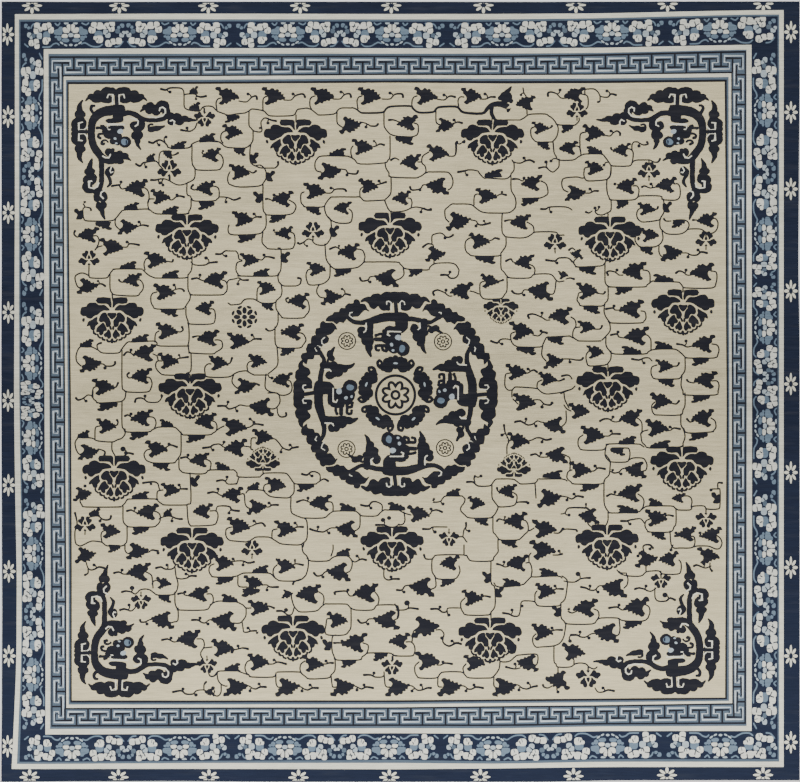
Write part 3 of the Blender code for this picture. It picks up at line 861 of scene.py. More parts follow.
v 685 358 685 370 682 375 680 378 676 379 656 379 652 376 651 372 652 367 657 365
v 682 376 681 385 683 391 686 395 715 395 718 391 719 385 717 381 712 381
t 93 396 88 395 85 397 82 399 78 400 76 398; b 86 401
v 93 391 93 398 96 401 99 403 118 402 122 401 125 398 126 391; h 107 403 19 DL
t 162 397 158 402 148 402 144 399 140 398 136 399 135 402; b 145 396; l 142 418 Ld 1.0
t 134 420 131 417 128 415 125 416; b 131 414; l 106 426 Rd 0.9; t 114 426 117 425 118 422 117 420
h 166 427 13 UL; l 206 421 Ld 1.0; l 234 427 Rd 1.1; t 244 428 250 427 255 424 263 425; b 250 419
b 254 422 1.5; h 84 438 12 UR; l 88 452 Ru 0.95; t 98 449 102 450 105 452 104 456; h 138 432 18 DL
h 195 435 18 DL; l 156 449 Rd 1.0; t 164 449 168 446 171 445 177 447; b 169 444
v 112 442 112 450 115 456 115 462; t 115 456 118 457 124 456 128 453 133 454; b 123 449 2.8; b 126 453 2.2
l 200 460 Ld 0.9; t 192 461 189 459 186 457 181 458; b 188 455; h 162 463 17 DR; h 222 470 14 UL; s 191 481 R
l 170 490 Rd 0.85; t 176 491 180 489 187 489; b 179 485; l 82 494 Ru 0.85; b 85 486
t 160 490 159 488 158 484 155 482 150 482 143 483; b 151 484 1.5; h 141 499 17 UR; l 148 512 Ld 1.0
t 137 513 133 511 131 510 127 511; b 135 508; l 203 511 Ld 0.9; h 168 516 9 UR
t 159 519 163 517 170 516 175 518 179 519 182 519; b 172 521; h 95 516 11 UR
t 87 519 90 517 98 516 102 519 106 520 110 519 111 516; b 100 521; t 77 528 77 522 76 517 75 513
h 140 527 17 DL; l 110 531 Rd 0.9
v 122 402 122 425 124 429 127 432 148 432 152 430 156 428 160 427 172 427 176 428 180 432 183 435
v 183 435 208 435 213 433 216 431 217 427 216 423 213 421 209 421
v 125 429 125 434 122 438 117 440 112 442 98 441 94 439 91 438 80 437 77 439 75 443 76 449
v 76 449 78 453 82 456; v 95 439 95 431 96 427 100 426; v 154 429 156 424 155 419 152 417 147 417
v 217 430 220 428 224 426
v 181 432 181 452 179 457 176 461 173 463 155 463 150 462 146 460 144 455 145 452 147 450 151 449
v 179 459 179 468 181 471 185 473 200 474 206 473 210 470 230 470 234 470 237 473 239 477 260 477
v 260 477 263 474 267 473 284 473 288 475 291 479 294 483 298 484 316 484
v 190 473 191 501 188 504 185 505 166 505 162 504 158 501 155 499 130 499 127 500 125 503 122 506
v 122 506 118 507 86 507 82 505 80 501 81 498; v 157 500 157 494 158 491 163 490
v 210 470 211 463 208 460 203 459
v 123 506 123 519 124 523 127 526 131 527 152 527 157 525 160 521 160 515 157 512 152 511
v 127 526 127 540 125 544 121 546 108 546 104 544 101 542 93 541 89 542 85 544 80 546 76 544
v 76 544 75 540 75 531 77 528 80 528; v 102 542 101 536 102 532 106 530; v 125 545 125 549
v 187 505 188 520 190 525 193 526 213 525 217 521 218 515 216 511 210 511
t 216 511 217 507 220 506 226 506 230 507 232 510 239 511; b 229 513
t 250 406 246 406 240 405 236 407 229 409 225 406 218 406; b 228 402; b 237 411
t 227 449 222 446 219 444 213 445 210 447 203 448; b 224 442; b 213 450
t 237 484 228 484 225 481 222 480 217 481; b 227 477; t 224 496 220 495 217 493 213 492 208 493; b 218 489
v 246 542 234 541 229 540 226 536 226 530 228 528 232 527; l 262 407 Lu 1.1
v 268 393 276 393 279 395 280 402 277 407 273 409 268 408; t 277 407 278 414 281 417 286 416 286 413
l 262 437 Rd 0.95; t 271 439 275 439 279 443 283 448 289 450 292 448 298 447; b 281 452; b 290 445
l 236 448 Ld 1.05; v 243 446 250 447 251 449 253 450; v 251 447 251 441 252 438 256 438; v 263 474 263 469
h 254 490 12 UR; l 275 485 Rd 0.95; h 305 484 17 DL; l 233 495 Ld 0.95; l 256 507 Ru 0.9
t 264 507 269 507 272 505 278 505; b 269 503; l 321 503 Ld 1.0; t 311 503 307 501 303 500 297 502; b 308 498
h 347 511 16 UL; l 238 526 Rd 1.05; t 248 527 252 526 256 524 262 523 265 526; b 254 521; l 285 529 Rd 1.0
t 293 529 297 527 303 527; b 295 523; l 347 529 Lu 1.0; t 336 528 331 528 327 530 323 532 316 531 310 529
b 329 533; b 318 527; t 399 524 395 527 389 527 384 525 376 525; b 383 520 2.4; b 389 518 2.2
h 396 510 17 UL; t 382 511 382 505 377 502 372 502 368 506 361 505; b 371 508
t 320 481 320 475 316 472 311 472 307 475 302 474; b 312 476; t 316 484 320 481 324 479 328 481
v 239 477 238 480 237 483 234 484 231 484
v 294 483 294 492 291 496 287 498 273 497 268 495 264 491 264 486 267 484 271 484
v 265 491 260 490 249 490 246 493; v 239 495 244 494 245 503 247 507 251 509
v 291 496 291 511 295 515 300 517 304 518 323 518 328 515 332 512 337 511 353 511 357 512 360 515
v 360 515 363 516 376 516 380 513 384 510 388 510 399 510; v 333 511 333 505 331 502 326 502
v 360 514 360 525 358 529 354 531 350 530
v 304 518 307 522 307 538 303 543 298 545 282 544 276 541 271 538 267 537 257 537 254 538 250 541
v 250 541 246 542; v 272 538 272 533 273 530 277 529; v 304 543 303 547; l 418 514 Rd 1.0
v 399 510 404 513 411 515; v 404 512 405 520 403 524 399 525; t 425 515 430 514 432 511 437 510 442 512
b 431 509; l 524 402 Rd 1.05; t 533 400 540 400 544 404 550 405 552 403; b 542 407 1.9; b 552 403
v 513 399 518 404; l 555 425 Lu 1.0; t 546 423 541 422 537 421 533 424 528 425 524 423 520 421 515 422
b 526 419; b 536 426; t 508 438 505 432 504 425; b 502 435 1.9; v 507 437 509 441 507 446 507 454
l 518 441 Rd 1.0; v 508 441 512 440; t 528 441 532 440 536 438 541 438 546 440 551 439; b 542 442
l 557 455 Lu 1.0; t 548 457 540 457 536 454 531 455; b 541 453; h 553 478 19 UR
v 492 484 495 480 498 479 511 479 515 480 519 483 522 484 535 483 538 479 541 479 562 479 567 481
v 535 483 536 498; l 549 498 Ru 1.1; t 492 484 489 486 478 486 473 482 467 482; t 475 482 474 479 475 476
b 481 476; v 492 484 492 497 494 501 497 505 500 507 512 506 516 503 517 496 514 493 511 492
l 508 491 Ld 0.85; t 502 493 498 491 497 488; t 516 503 519 502 527 502; b 528 503
v 497 505 498 508 495 514 492 517 489 518 470 518 465 515 461 511 461 507 464 503 465 499 462 496
v 462 496 458 496 446 496 443 498 441 501; t 441 501 438 502 433 502 434 499; b 443 504; h 454 496 14 UR
l 476 503 Rd 0.8; h 482 518 14 DR
v 493 516 493 531 495 534 498 538 501 540 517 540 521 538 525 534 528 531 528 525 526 521 523 520
l 516 521 Ld 1.05; t 508 522 503 520 499 519 497 521; b 505 517 1.3; v 528 531 531 530 534 528
l 544 529 Rd 1.1; t 554 533 559 533 562 530; h 510 540 16 DR; v 498 539 498 549
t 447 527 433 527 430 529 423 529; b 435 532 2; v 458 537 463 537 466 541 467 542
t 463 536 464 530 466 527 466 523; b 469 531; l 579 411 Rd 0.95; v 564 405 567 409 571 411
v 564 393 565 400 569 408; v 566 411 566 422 561 427; l 660 401 Rd 1.0
v 655 402 652 405 652 410 654 414 658 415 680 415 683 410 685 405 685 393; t 671 403 676 404 679 401
h 700 395 18 DL; l 703 418 Ld 1.05; t 694 421 690 422 687 419
v 711 418 715 421 716 427 714 430 711 432 688 433 684 429 681 425 681 414
v 681 425 684 431 685 437 683 443 680 447 650 448 645 445 642 442 641 436 641 433 644 431 648 430
h 698 433 18 DL; l 656 428 Rd 1.05; t 666 431 671 430 674 428 680 429; b 670 427
v 642 433 642 424 640 420 637 418; l 631 418 Ld 1.05; t 621 421 616 422 612 421 609 419 604 419 600 421
b 613 417; l 592 435 Rd 1.1
v 583 435 579 438 578 443 579 447 583 450 602 450 606 447 609 444 637 444 641 445 644 447
t 603 436 609 436 612 434 620 434; b 611 431; h 628 444 17 UR; h 661 448 20 UR
v 606 447 605 455 608 460 612 462 626 462 629 459 630 454 629 449 626 448 612 448; h 618 448 14 DR
v 629 460 633 458 642 458 645 460 647 465 646 470 643 471; l 636 470 Lu 1.0
t 626 468 622 469 619 472 614 473 611 471 613 470; b 621 474; l 580 470 Rd 1.0
t 588 471 594 471 598 468 605 469; b 595 466 1.9
v 572 470 568 472 567 478 571 482 575 484 601 484 605 479 609 475 610 468 610 461 606 455
v 562 454 567 456 570 459 570 470; h 589 484 18 DL
v 604 481 604 500 605 506 608 511 612 513 637 512 641 510 645 507 650 506 671 506 675 508 678 510
v 678 510 690 510 692 507 695 506 704 506 707 509 718 509 720 505 720 490 718 489 712 489; l 631 493 Ld 1.1
t 621 496 615 495 611 494 607 496; b 615 492; v 638 494 642 497 644 501 643 507 641 510; h 627 513 20 UL
h 655 506 14 UL; l 679 498 Ld 0.62; v 684 496 688 496 691 498 692 502 691 507; s 720 498 L
t 718 489 718 483 722 483; b 711 490; v 706 509 706 513
v 608 512 608 520 606 525 602 528 594 528 589 525 587 521; v 604 526 604 531; l 589 516 Lu 0.95
t 561 514 565 513 569 508 586 508 588 509; t 586 507 586 504; b 569 515
t 561 496 567 497 572 499 577 496 583 497; b 574 494; b 567 500; t 562 530 567 529 577 530 577 531; b 563 529
l 656 518 Rd 1.0; t 664 517 668 515 673 516; b 665 514
v 650 519 646 521 645 526 647 530 650 532 670 532 674 527 676 523 676 509
t 645 524 641 519 636 519 630 520 627 521 621 521; b 630 524; h 659 532 14 DR
v 670 531 671 544 674 548 680 548 690 548 694 546 695 541 694 537 691 536; l 687 534 Ld 0.9; b 676 533
t 682 535 679 536 675 536; l 712 535 Ld 0.95
v 716 535 720 538 722 543 720 548 716 549 711 547 707 546 697 546 694 547; b 700 533
t 707 534 704 536 700 536; l 85 555 Ru 0.95; t 86 562 88 568 91 570 95 569 99 567 104 568; b 94 565
t 88 569 88 573 85 575; h 114 545 12 DL; v 125 545 125 550 127 553 131 554; l 137 551 Ru 1.0
t 145 553 149 552 152 550 158 551; b 158 553; t 175 563 175 566 172 569 165 569 161 567 156 568; b 167 565
l 139 572 Ld 1.1; t 128 574 123 574 119 572 114 573; b 122 570; v 146 572 150 574 152 577 153 588
v 152 584 154 581 158 580; l 163 583 Rd 0.7
v 175 567 176 576 178 583 177 590 174 594 170 595 158 595 154 593 150 590 145 589 140 590 138 592
t 177 578 181 579 187 578 190 576 196 576; b 186 574; t 138 592 135 594 131 592 126 591 122 592
b 132 588 2.5; v 175 592 175 603 177 608 180 610 205 610 210 606 213 602 213 597 211 594 207 594
v 210 605 215 602 222 601 237 602; h 165 595 12 DR; l 200 594 Ld 0.95; t 190 596 185 595 183 593 178 594
b 185 592; t 137 605 134 609 131 611 128 610 124 609 120 610; b 129 605; v 178 608 178 620 174 622 170 623
l 163 620 Lu 1.05; t 153 619 149 620 145 622 141 622 140 620; b 147 624; l 225 621 Lu 1.15
t 214 620 209 620 205 623 201 622 198 620 192 620; b 200 618; b 208 624; l 189 639 Ld 1.1
t 179 641 174 642 170 640 167 639 162 640; b 171 638
v 197 639 202 639 204 642 204 647 201 652 201 656 203 659; v 204 648 212 647; l 222 648 Rd 1.05
t 208 671 210 676 214 676 217 673; v 217 673 220 671 240 671; v 217 673 218 680 221 684 225 686 227 686
v 221 684 221 692 218 696 213 695; l 210 692 Lu 0.5
t 206 691 204 690 200 690 196 691 193 694 186 694 182 691 178 691 173 692; b 183 689; b 196 695 1.9
t 204 690 204 685 206 682; b 213 688 2; h 224 577 17 DL; v 214 564 210 566 209 571 211 575 214 577 232 577
l 223 563 Rd 0.95; h 229 602 16 UL; h 233 671 15 UR; t 232 562 236 561 243 561 248 563 254 562; b 233 559
b 243 565; h 261 573 16 UR
v 231 577 237 576 241 574 246 573 266 573 271 574 274 577 278 580 282 581 296 581 302 579 306 575
v 306 575 308 568 308 558 303 552 302 545; l 285 566 Rd 0.9; v 277 565 274 568 273 573 275 578
t 291 566 295 564 298 564 303 565; t 295 564 295 560
v 307 558 311 561 327 561 332 558 337 556 347 556 350 558 352 561 352 566 350 571 346 573; h 344 556 14 UR
t 351 560 355 562 359 560 362 559 366 560; b 357 556; v 333 545 333 550 331 556; l 339 572 Lu 1.1
t 330 571 325 572 322 575 317 576 314 573; b 323 577; l 253 583 Rd 0.9; h 250 589 18 DL
v 238 577 238 585 241 587 247 587; t 262 585 267 585 270 587 278 587; b 267 590
t 302 579 298 580 294 582 293 584; l 287 594 Ru 0.55
v 291 594 292 600 294 606 297 610 301 612 316 611 321 607 325 604 328 604 344 604 348 605 351 609
v 351 609 351 626 349 631 344 635 328 635 325 631 326 625 327 619 331 619; l 309 594 Ld 1.15
v 319 592 323 595 324 600 323 604; t 294 608 292 614 288 615 285 613 282 611 277 611; b 286 610 2.2
l 337 620 Rd 0.95; v 351 608 356 610 372 610 376 606 379 605 395 605 398 608; l 366 593 Ld 1.15
v 375 592 378 596 379 600 378 604; t 356 595 350 596 347 592 344 591 335 592 335 594; b 348 590
l 387 620 Lu 1.15; t 376 619 369 619 366 622 361 623 358 620; b 368 624; v 398 606 399 612 398 618 394 620
l 258 608 Rd 0.95; v 237 602 243 605 246 608 251 608; t 264 608 268 606 274 608; b 266 604
v 246 608 246 615 244 619 240 623 233 623; t 242 621 243 628 244 632 248 632 251 631 257 631 257 633
b 248 628; t 233 650 238 649 243 648 248 649; b 238 646; b 232 652; l 258 662 Rd 1.0
t 268 664 273 664 278 662 286 664; b 274 660
v 251 660 247 662 245 667 246 672 249 675 252 677 273 677 276 673 279 672 299 672 302 674 306 677
v 306 677 310 679 328 678 331 675 335 670 335 658; v 238 671 243 673 249 675; l 313 664 Rd 0.95
v 305 661 301 664 300 669 301 673; t 322 664 326 664 329 663 333 663; b 326 661
v 331 675 332 684 333 687 337 687; l 342 687 Ru 1.1; t 351 685 355 686 359 688 362 689 366 687 373 688
b 364 685; b 357 690; v 276 673 276 683 278 687 281 687; l 287 687 Ru 1.1
t 295 686 301 687 304 689 308 690 312 688 318 688; b 310 685; b 302 691; l 235 687 Ru 1.1
t 244 685 249 686 252 688 256 689 260 687 266 687; b 259 684; b 250 691; l 355 643 Ld 1.15
t 346 645 341 643 334 643; b 342 641
v 363 643 368 645 368 650 366 654 362 657 359 660 337 660 334 656 332 650 332 640 333 636 336 635
s 331 645 L; v 366 654 369 653 389 653 393 655 398 656; h 348 660 15 DL; h 380 653 14 DL; v 393 654 393 660
t 384 675 382 677 375 677 371 675 364 675; b 374 673; v 384 672 385 684 387 687 390 687; l 397 687 Ru 1.1
t 384 569 384 577 388 580 393 579 399 579; b 391 577
v 498 548 498 552 494 557 491 561 472 561 468 558 464 555 438 555 434 557 432 560 432 571 434 575
v 434 575 438 579 454 579 458 576 460 571 459 566; v 464 554 464 545; t 433 559 426 559 424 555
l 450 563 Ld 0.9; h 447 579 14 DL; v 435 576 436 586 432 589 428 590; l 422 587 Lu 1.15
t 411 585 405 586 402 590 397 590; b 404 592
v 491 561 491 582 494 586 495 591 495 606 491 612 488 615 467 615 463 612 461 608 461 602 465 598
s 491 577 L; l 472 598 Rd 0.95; t 480 599 484 596 490 597; b 482 595
t 461 608 449 608 447 610 446 612 442 612 438 609 431 609; v 447 610 448 616; b 449 615; b 440 607
s 495 592 R; v 494 583 499 587 521 585 526 582 531 577 535 577 557 576 562 578; h 511 586 18 UL
h 548 576 18 UL; l 518 563 Ld 1.0; t 509 566 505 567 501 565 497 564; b 504 562
v 526 563 530 563 532 570 531 577; v 529 562 529 556 531 553; l 542 550 Rd 1.15; t 553 555 558 555 562 554
b 559 551; t 396 610 404 610 410 608 418 609; b 407 603 3; v 395 604 398 612 397 619; l 425 627 Ru 1.25
v 412 642 413 633 415 630 418 630; v 406 642 411 642 414 645 415 650 414 654 411 656 395 656
l 400 641 Ld 0.95; t 436 630 441 630 444 634 443 638 443 642 446 645 450 646 456 643 461 644; b 442 638 2
b 452 641; l 427 661 Rd 1.1; t 437 665 441 665 445 663 452 664; b 443 662
v 419 662 415 666 415 672 417 676 420 678 436 678 440 674 444 672 461 672 465 675 470 678 491 678
v 491 678 494 676 499 669 500 661; l 474 663 Rd 0.95; v 466 664 463 668 464 673; v 438 677 438 686 442 687
l 449 687 Ru 1.1; t 458 686 464 686 468 689 472 689 476 687 483 688; b 474 685; b 466 691
v 494 677 494 686 498 688; l 504 687 Ru 1.1; t 513 685 518 685 522 688 527 689 532 687 537 686; b 528 683
b 519 690; t 405 686 412 686 417 690 422 690 427 688 431 688; b 421 685; b 412 691
v 498 657 500 661 504 662 510 661 516 656 520 655 535 654 538 657 537 664 534 666; s 516 648 L
l 528 663 Lu 1.0; t 520 668 515 669 510 668 506 667; b 515 664; v 491 612 491 620
t 521 603 520 612 518 616 513 616 509 614 503 613; b 512 610; b 522 606
v 521 603 523 601 530 601 535 602 539 606 558 606 561 603 565 599 567 588 567 580 562 576
v 535 601 535 594 537 591; l 545 591 Rd 0.95; t 552 591 556 589 563 589; b 555 586
v 561 604 561 617 564 621 568 624 592 624 597 620 601 618 617 618 621 620 627 621 643 621 648 618
v 648 618 650 612 649 607 646 605; s 561 611 L; l 542 632 Rd 1.0; t 550 632 555 630 562 630; b 552 628
v 536 634 533 637 533 643 536 647 541 647 553 646 560 643 564 636 566 623
v 554 646 554 661 556 664 558 667 570 667 575 664 580 663 586 664 589 667 594 669 597 667; v 558 667 558 673
l 558 680 Lu 1.1; t 552 686 548 688 544 687 543 685; v 557 686 557 690 558 692; b 558 692
v 564 581 569 582 575 582 579 580; t 575 582 580 579 585 578 590 578; b 578 574 2.6; l 586 608 Ld 1.1
t 577 611 572 613 568 611 569 609; v 594 609 598 611 599 616 597 620; l 637 607 Ld 1.15
t 627 609 622 610 617 607 609 608; b 619 605; h 632 621 18 DL; v 619 619 620 628 619 634 616 636
l 607 633 Lu 1.15; t 597 633 591 634 586 637 581 637 577 635 571 635; b 580 632; b 589 638; l 573 652 Rd 1.05
b 570 641 2; v 574 660 574 664; v 588 667 588 672
v 617 570 621 574 629 576 641 576 646 572 652 571 659 571 663 574 678 574 681 570 681 563 679 560
v 646 571 646 566; l 646 559 Ru 1.0; t 646 555 644 551 643 547 645 545 650 545 653 548; b 638 556
l 669 559 Ld 0.9; v 661 574 661 578; t 625 573 621 573 619 572; v 626 573 628 579 627 585 624 588
l 615 588 Lu 1.15; t 605 586 599 586 595 590 590 590 586 588 581 587; b 590 586; b 598 592; l 708 556 Rd 1.0
t 710 563 710 568 712 571; t 711 566 706 568 702 567 697 565 694 566; b 704 564
t 656 588 652 591 648 591 644 589 639 588 635 589; b 646 586
t 655 588 655 597 658 601 666 601 670 598 675 600; b 665 595 2.8; t 595 688 598 692 603 692 608 690 614 691
b 603 688; b 650 549; b 671 550; v 671 549 673 545
"""

# The one thick branch of the field, in the upper right, as x, y and width.
branch = [(352, 107.5, 1.4), (356, 109, 1.6), (360, 112, 1.9), (364, 113, 2), (382, 112.5, 2.1), (386, 109,
    2.1),
          (391, 106.5, 2.1), (410, 106, 2.1), (413, 108.5, 2.2), (419, 112.5, 2.3), (433, 112, 2.3),
          (436, 109, 2.3), (440, 107, 2.3), (455, 106.5, 2.4), (459, 108.5, 2.4), (464, 112.5, 2.6),
          (482, 113.5, 2.8), (487, 109, 4), (492, 105, 5), (500, 104, 6), (508, 107, 6), (508, 111, 3)]


def pairs(values):
    numbers = [float(value) for value in values]
    return list(zip(numbers[::2], numbers[1::2]))


def tendril(points):
    # grows from a vine's width to a blunt tip
    path = curve(points, 3)
    last = len(path) - 1
    return stroke("indigo", [(x, y, 1.35 + 1.15 * (k / last) ** 2) for k, (x, y) in enumerate(path)])


def budStem(x, y, paths):
    # the short stem from the nearest vine or tendril
    near = min((math.dist((x, y), point), point) for point in paths)
    if 1.5 < near[0] < 8.0:
        px, py = near[1]
        bend = (0.5 * (x + px) - 0.22 * (y - py), 0.5 * (y + py) + 0.22 * (x - px))
        for piece in stroke("indigo", curve([(px, py), bend, (x, y)], 2), 1.35):
            paint(*piece)


def drawRow(row, serial, paths):
    kind, values = row[0], row[1:]
    if kind == "v":
        for piece in stroke("indigo", curve(pairs(values), 3), 1.42):
            paint(*piece)
    elif kind == "t":
        for piece in tendril(pairs(values)):
            paint(*piece)
    elif kind == "b":
        radius = float(values[2]) if len(values) > 2 else 1.75
        place(dab("indigo", 0, 0, radius, radius * 0.92), float(values[0]), float(values[1]))
        budStem(float(values[0]), float(values[1]), paths)
    elif kind == "l":
        x, y, facing, size = float(values[0]), float(values[1]), values[2], float(values[3])
        leaf = leaves[serial % len(leaves)]
        place(leaf, x, y, (size * 1.04, size * 1.0), 0.0, facing[0] == "L", facing[1] == "u", wobble=0.25)
    elif kind == "h":
        x, y, wide, facing = float(values[0]), float(values[1]), float(values[2]), values[3]
        leaf = halfLeaves[serial % len(halfLeaves)]
        place(leaf, x, y, (wide / 16.0, 1.0), 0.0, facing[1] == "L", facing[0] == "D", wobble=0.2)
    elif kind == "s":
        leaf = sideLeaves[serial % len(sideLeaves)]
        place(leaf, float(values[0]), float(values[1]), 1.05, 0.0, values[2] == "L", wobble=0.2)


def drawField():
    rows = [row.split() for row in fieldChart.replace("\n", ";").split(";") if row.strip()]
    paths = [point for row in rows if row[0] in "vt" for point in curve(pairs(row[1:]), 3)]
    for serial, row in enumerate(rows):
        drawRow(row, serial, paths)
    for piece in stroke("indigo", curve(branch, 3)) + brush("indigo", [(506, 99, 8), (506, 93, 5),
            (509, 90, 4),
                                                                       (511, 87, 2)]):
        paint(*piece)
    place(dab("indigo", 0, 0, 6.5, 6.0) + dab("indigo", -6, 1, 2.4) + dab("indigo", 5, 4, 2.4), 506, 97)
    place(brush("indigo", [(0, 0, 4), (-0.5, 7, 4), (2, 12, 3.4), (5, 14, 1.6), (13, 14, 1.3), (28, 14,
        1.3)]), 492, 106)
    place(stroke("indigo", [(0, 0), (0, 6)], 1.2), 492, 118)
    flowers = {"small": smallLotus, "wide": grown(palmette, 0.2), "rosette": rosette}
    for kind, x, y, size in flowerPlaces:
        place(flowers[kind], x, y, abs(size), 0.0, flipY=size < 0, wobble=0.12)
    full = grown(palmette, 0.42)
    for x, y in palmettePlaces:
        place(full, x, y, 1.0, wobble=0.22)
    print("field:", len(rows), "charted rows")


# The medallion.
medallion = {"centre": (395.5, 394.0), "smallRoundels": ((347.0, 341.0), (443.0, 341.5), (346.5, 449.0),
                                                        (445.0, 448.0))}


def turned(motif, degrees, mirror=False):
    c = math.cos(math.radians(degrees))
    s = math.sin(math.radians(degrees))
    sign = -1 if mirror else 1
    return [(dye, [(sign * x * c - y * s, sign * x * s + y * c) for x, y in points]) for dye, points in motif]


def swapped(motif):
    return [(dye, [(y, x) for x, y in points]) for dye, points in motif]


# One quarter of the cloud ring, up and to the left of the centre.
halfCap = outline("indigo", [(1, -101), (-5, -101.6), (-11, -101.4), (-14.4, -98.8), (-17, -99.8),
                             (-22, -99.6), (-25, -96.6), (-28, -97), (-32, -95), (-34.5, -92),
                             (-29.5, -93), (-26.5, -90), (-24.4, -86.4), (-21, -85.6), (-17, -88.2),
                             (-14.5, -84.8), (-10, -83.8), (-6, -84.4), (-5.4, -90), (1, -94)], 3)
halfCap += stroke("ivory", [(-4.4, -83.5), (-4.4, -91.5), (-6.5, -93), (-8.8, -92), (-9, -89.6)], 1.15)
cloudA = outline("indigo", [(-26.6, -82.4), (-28.6, -85.2), (-31, -89.2), (-35.6, -90), (-36.2, -93),
                            (-38.6, -94.2), (-41.2, -93), (-42, -90.4), (-47, -90), (-49.6, -87.4),
                            (-49.8, -85.4), (-54, -85.6), (-56, -83), (-56.4, -81.6), (-61, -81.6),
                            (-62.8, -78.6), (-67, -77.4), (-69.4, -73.4), (-62, -72.8), (-59, -70.4),
                            (-55.6, -72.4), (-52, -71.8), (-49.8, -74.6), (-47.6, -76.4), (-44, -77.6),
                            (-38, -78), (-34.6, -81), (-31.6, -84), (-28.4, -84.2)], 2)
cloudA += stroke("ivory", [(-43.4, -81.8), (-45.6, -81.2), (-46, -78.4), (-43, -75.8)], 1.0)
cloudB = outline("indigo", [(-58.4, -64.6), (-60.4, -68), (-63.6, -70.8), (-69.8, -70.8), (-72, -72.4),
                            (-75, -70.4), (-75.2, -66.2), (-78.6, -65), (-80, -61.4), (-79, -58.6),
                            (-83, -57.6), (-84.2, -54), (-83.8, -50.6), (-87.4, -49.6), (-88.8, -45),
                            (-88.8, -41.2), (-93, -40.4), (-94, -35.6), (-91.6, -33), (-89, -30),
                            (-88, -34.8), (-82.4, -35.4), (-81, -39), (-77, -39.4), (-75.4, -43),
                            (-75, -47), (-71.4, -50.4), (-68, -52), (-67.2, -56), (-69, -59.4),
                            (-65, -59.8), (-62.6, -62.6), (-60.4, -65.4)], 2)
cloudB += stroke("ivory", [(-71, -56.4), (-74, -54), (-73.4, -50.6), (-71, -48.4)], 1.0)
cloudB += stroke("ivory", [(-74.6, -46.8), (-78, -48), (-80.2, -45.6), (-79, -42.6)], 1.0)
ringQuarter = halfCap + swapped(halfCap) + cloudA + cloudB
ring = ringQuarter + [(d, [(-x, y) for x, y in p]) for d, p in ringQuarter]
ring += [(d, [(x, -y) for x, y in p]) for d, p in ring]
for capTurn in (0, 90, 180, 270):
    ring += turned(stroke("indigo", [(-0.4, -97), (0, -90), (1.2, -80)], 2.8), capTurn)

# A hornless dragon in the ring: its body, two leafy tails, and its head turned inwards.
dragon = brush("indigo", [(-49, -78, 2.8), (-45.5, -74.4, 3.4), (-40.5, -71.9, 3.8), (-34.5, -71.3, 4.2),
    (-27.5, -72.4, 5.4),
                          (-19.5, -74.4, 7.6), (-11.5, -76.6, 8.6), (-3.5, -77, 8.6), (4.5, -76.6, 9), (9,
                          -76, 9)])
dragon += outline("indigo", [(0, -81), (9, -80.6), (12, -78), (12, -72), (11.6, -66), (9, -63), (6, -61.6),
    (1.6, -63.4),
                             (-9.4, -63.2), (-10.2, -65.4), (-9.4, -66.8), (-6, -67.6), (0, -67.4), (0,
                             -73)], 2)
dragon += brush("indigo", [(10, -75.4, 5), (16.5, -75, 4.6), (22.5, -74, 4.6), (28.5, -72, 4.6), (34.5,
    -71.6, 3.4),
                           (38.5, -73.6, 3.2), (46, -78, 3)])
dragon += brush("indigo", [(-25, -72, 6.4), (-25.4, -64, 5.8), (-25.4, -56, 5.8)])
dragon += lobed([(-33.8, -63.2, 4, 3.9), (-34, -59, 3.3, 2.9), (-30, -60, 3.2, 3.2), (-28.6, -54.4, 5.4, 5.9),
                 (-24.6, -53, 2.5, 4.9), (-26.6, -46.6, 3.4, 4.5)])
dragon += brush("indigo", [(-26.8, -46, 5.6), (-26.4, -42, 4.2), (-24.6, -38, 1)])
dragon += stroke("ivory", [(-29.2, -70.6), (-29.2, -65), (-30, -62.6), (-31.8, -61.8)], 1.3)
dragon += brush("indigo", [(28.6, -72, 6.8), (28.4, -64, 6.6), (27, -58, 6.4), (26.6, -52, 5.8), (26.8, -48,
    4.6),
                           (28, -44.4, 3.2), (30.2, -41.4, 1)])
dragon += lobed([(18.9, -65.4, 3.8, 4.4), (20.4, -61.2, 3.2, 2.9), (21.6, -57, 4.2, 4), (29.2, -61.4, 3.2,
    3.2),
                 (24, -62, 2.8, 2.8), (24.8, -51, 3, 3.2)])
dragon += stroke("ivory", [(24.4, -70.6), (24.6, -66), (22.8, -64.6)], 1.3)
dragon += lobed([(35.6, -63.6, 2.6, 2.4), (39.8, -65.6, 3.8, 2.8)])
dragon += brush("indigo", [(40, -65.4, 4.6), (43.5, -63, 2.8), (46.4, -61.2, 1)])
dragon += stroke("indigo", [(33, -67.8), (36, -66.6)], 1.4)
dragon += lobed([(-11, -62, 1.9, 2.6), (-0.6, -59.9, 5.9, 2.3), (-8, -55, 6.2, 4.2), (-2, -53, 7.4, 5.2),
    (-4, -47.6, 6.8, 4.6),
                 (3, -50, 5, 4.2), (-10.4, -57.4, 3.2, 2.6), (7.4, -45.2, 6.5, 6.9), (-1.4, -43.6, 4.6, 2.6)])
dragon += stroke("ivory", [(5.4, -62.4), (-7.6, -62.6), (-8.2, -59.4), (-5.8, -58.2)], 1.3)
dragon += dab("sky", 6.6, -45.4, 3, 3.9) + dab("grey", 2.8, -56.4, 3.2, 2.8)
dragon += dab("grey", -3.8, -49.4, 1.7, 1.9) + dab("grey", -2.4, -43.8, 1.5, 1.3)
dragon += stroke("indigo", [(-8, -54.4, 3.2), (-20, -54.6, 2.8)])
dragon += brush("indigo", [(-19.6, -58.6, 2.2), (-16, -59.8, 2.2), (-12.6, -59.4, 2.6), (-9.4, -57, 3)])
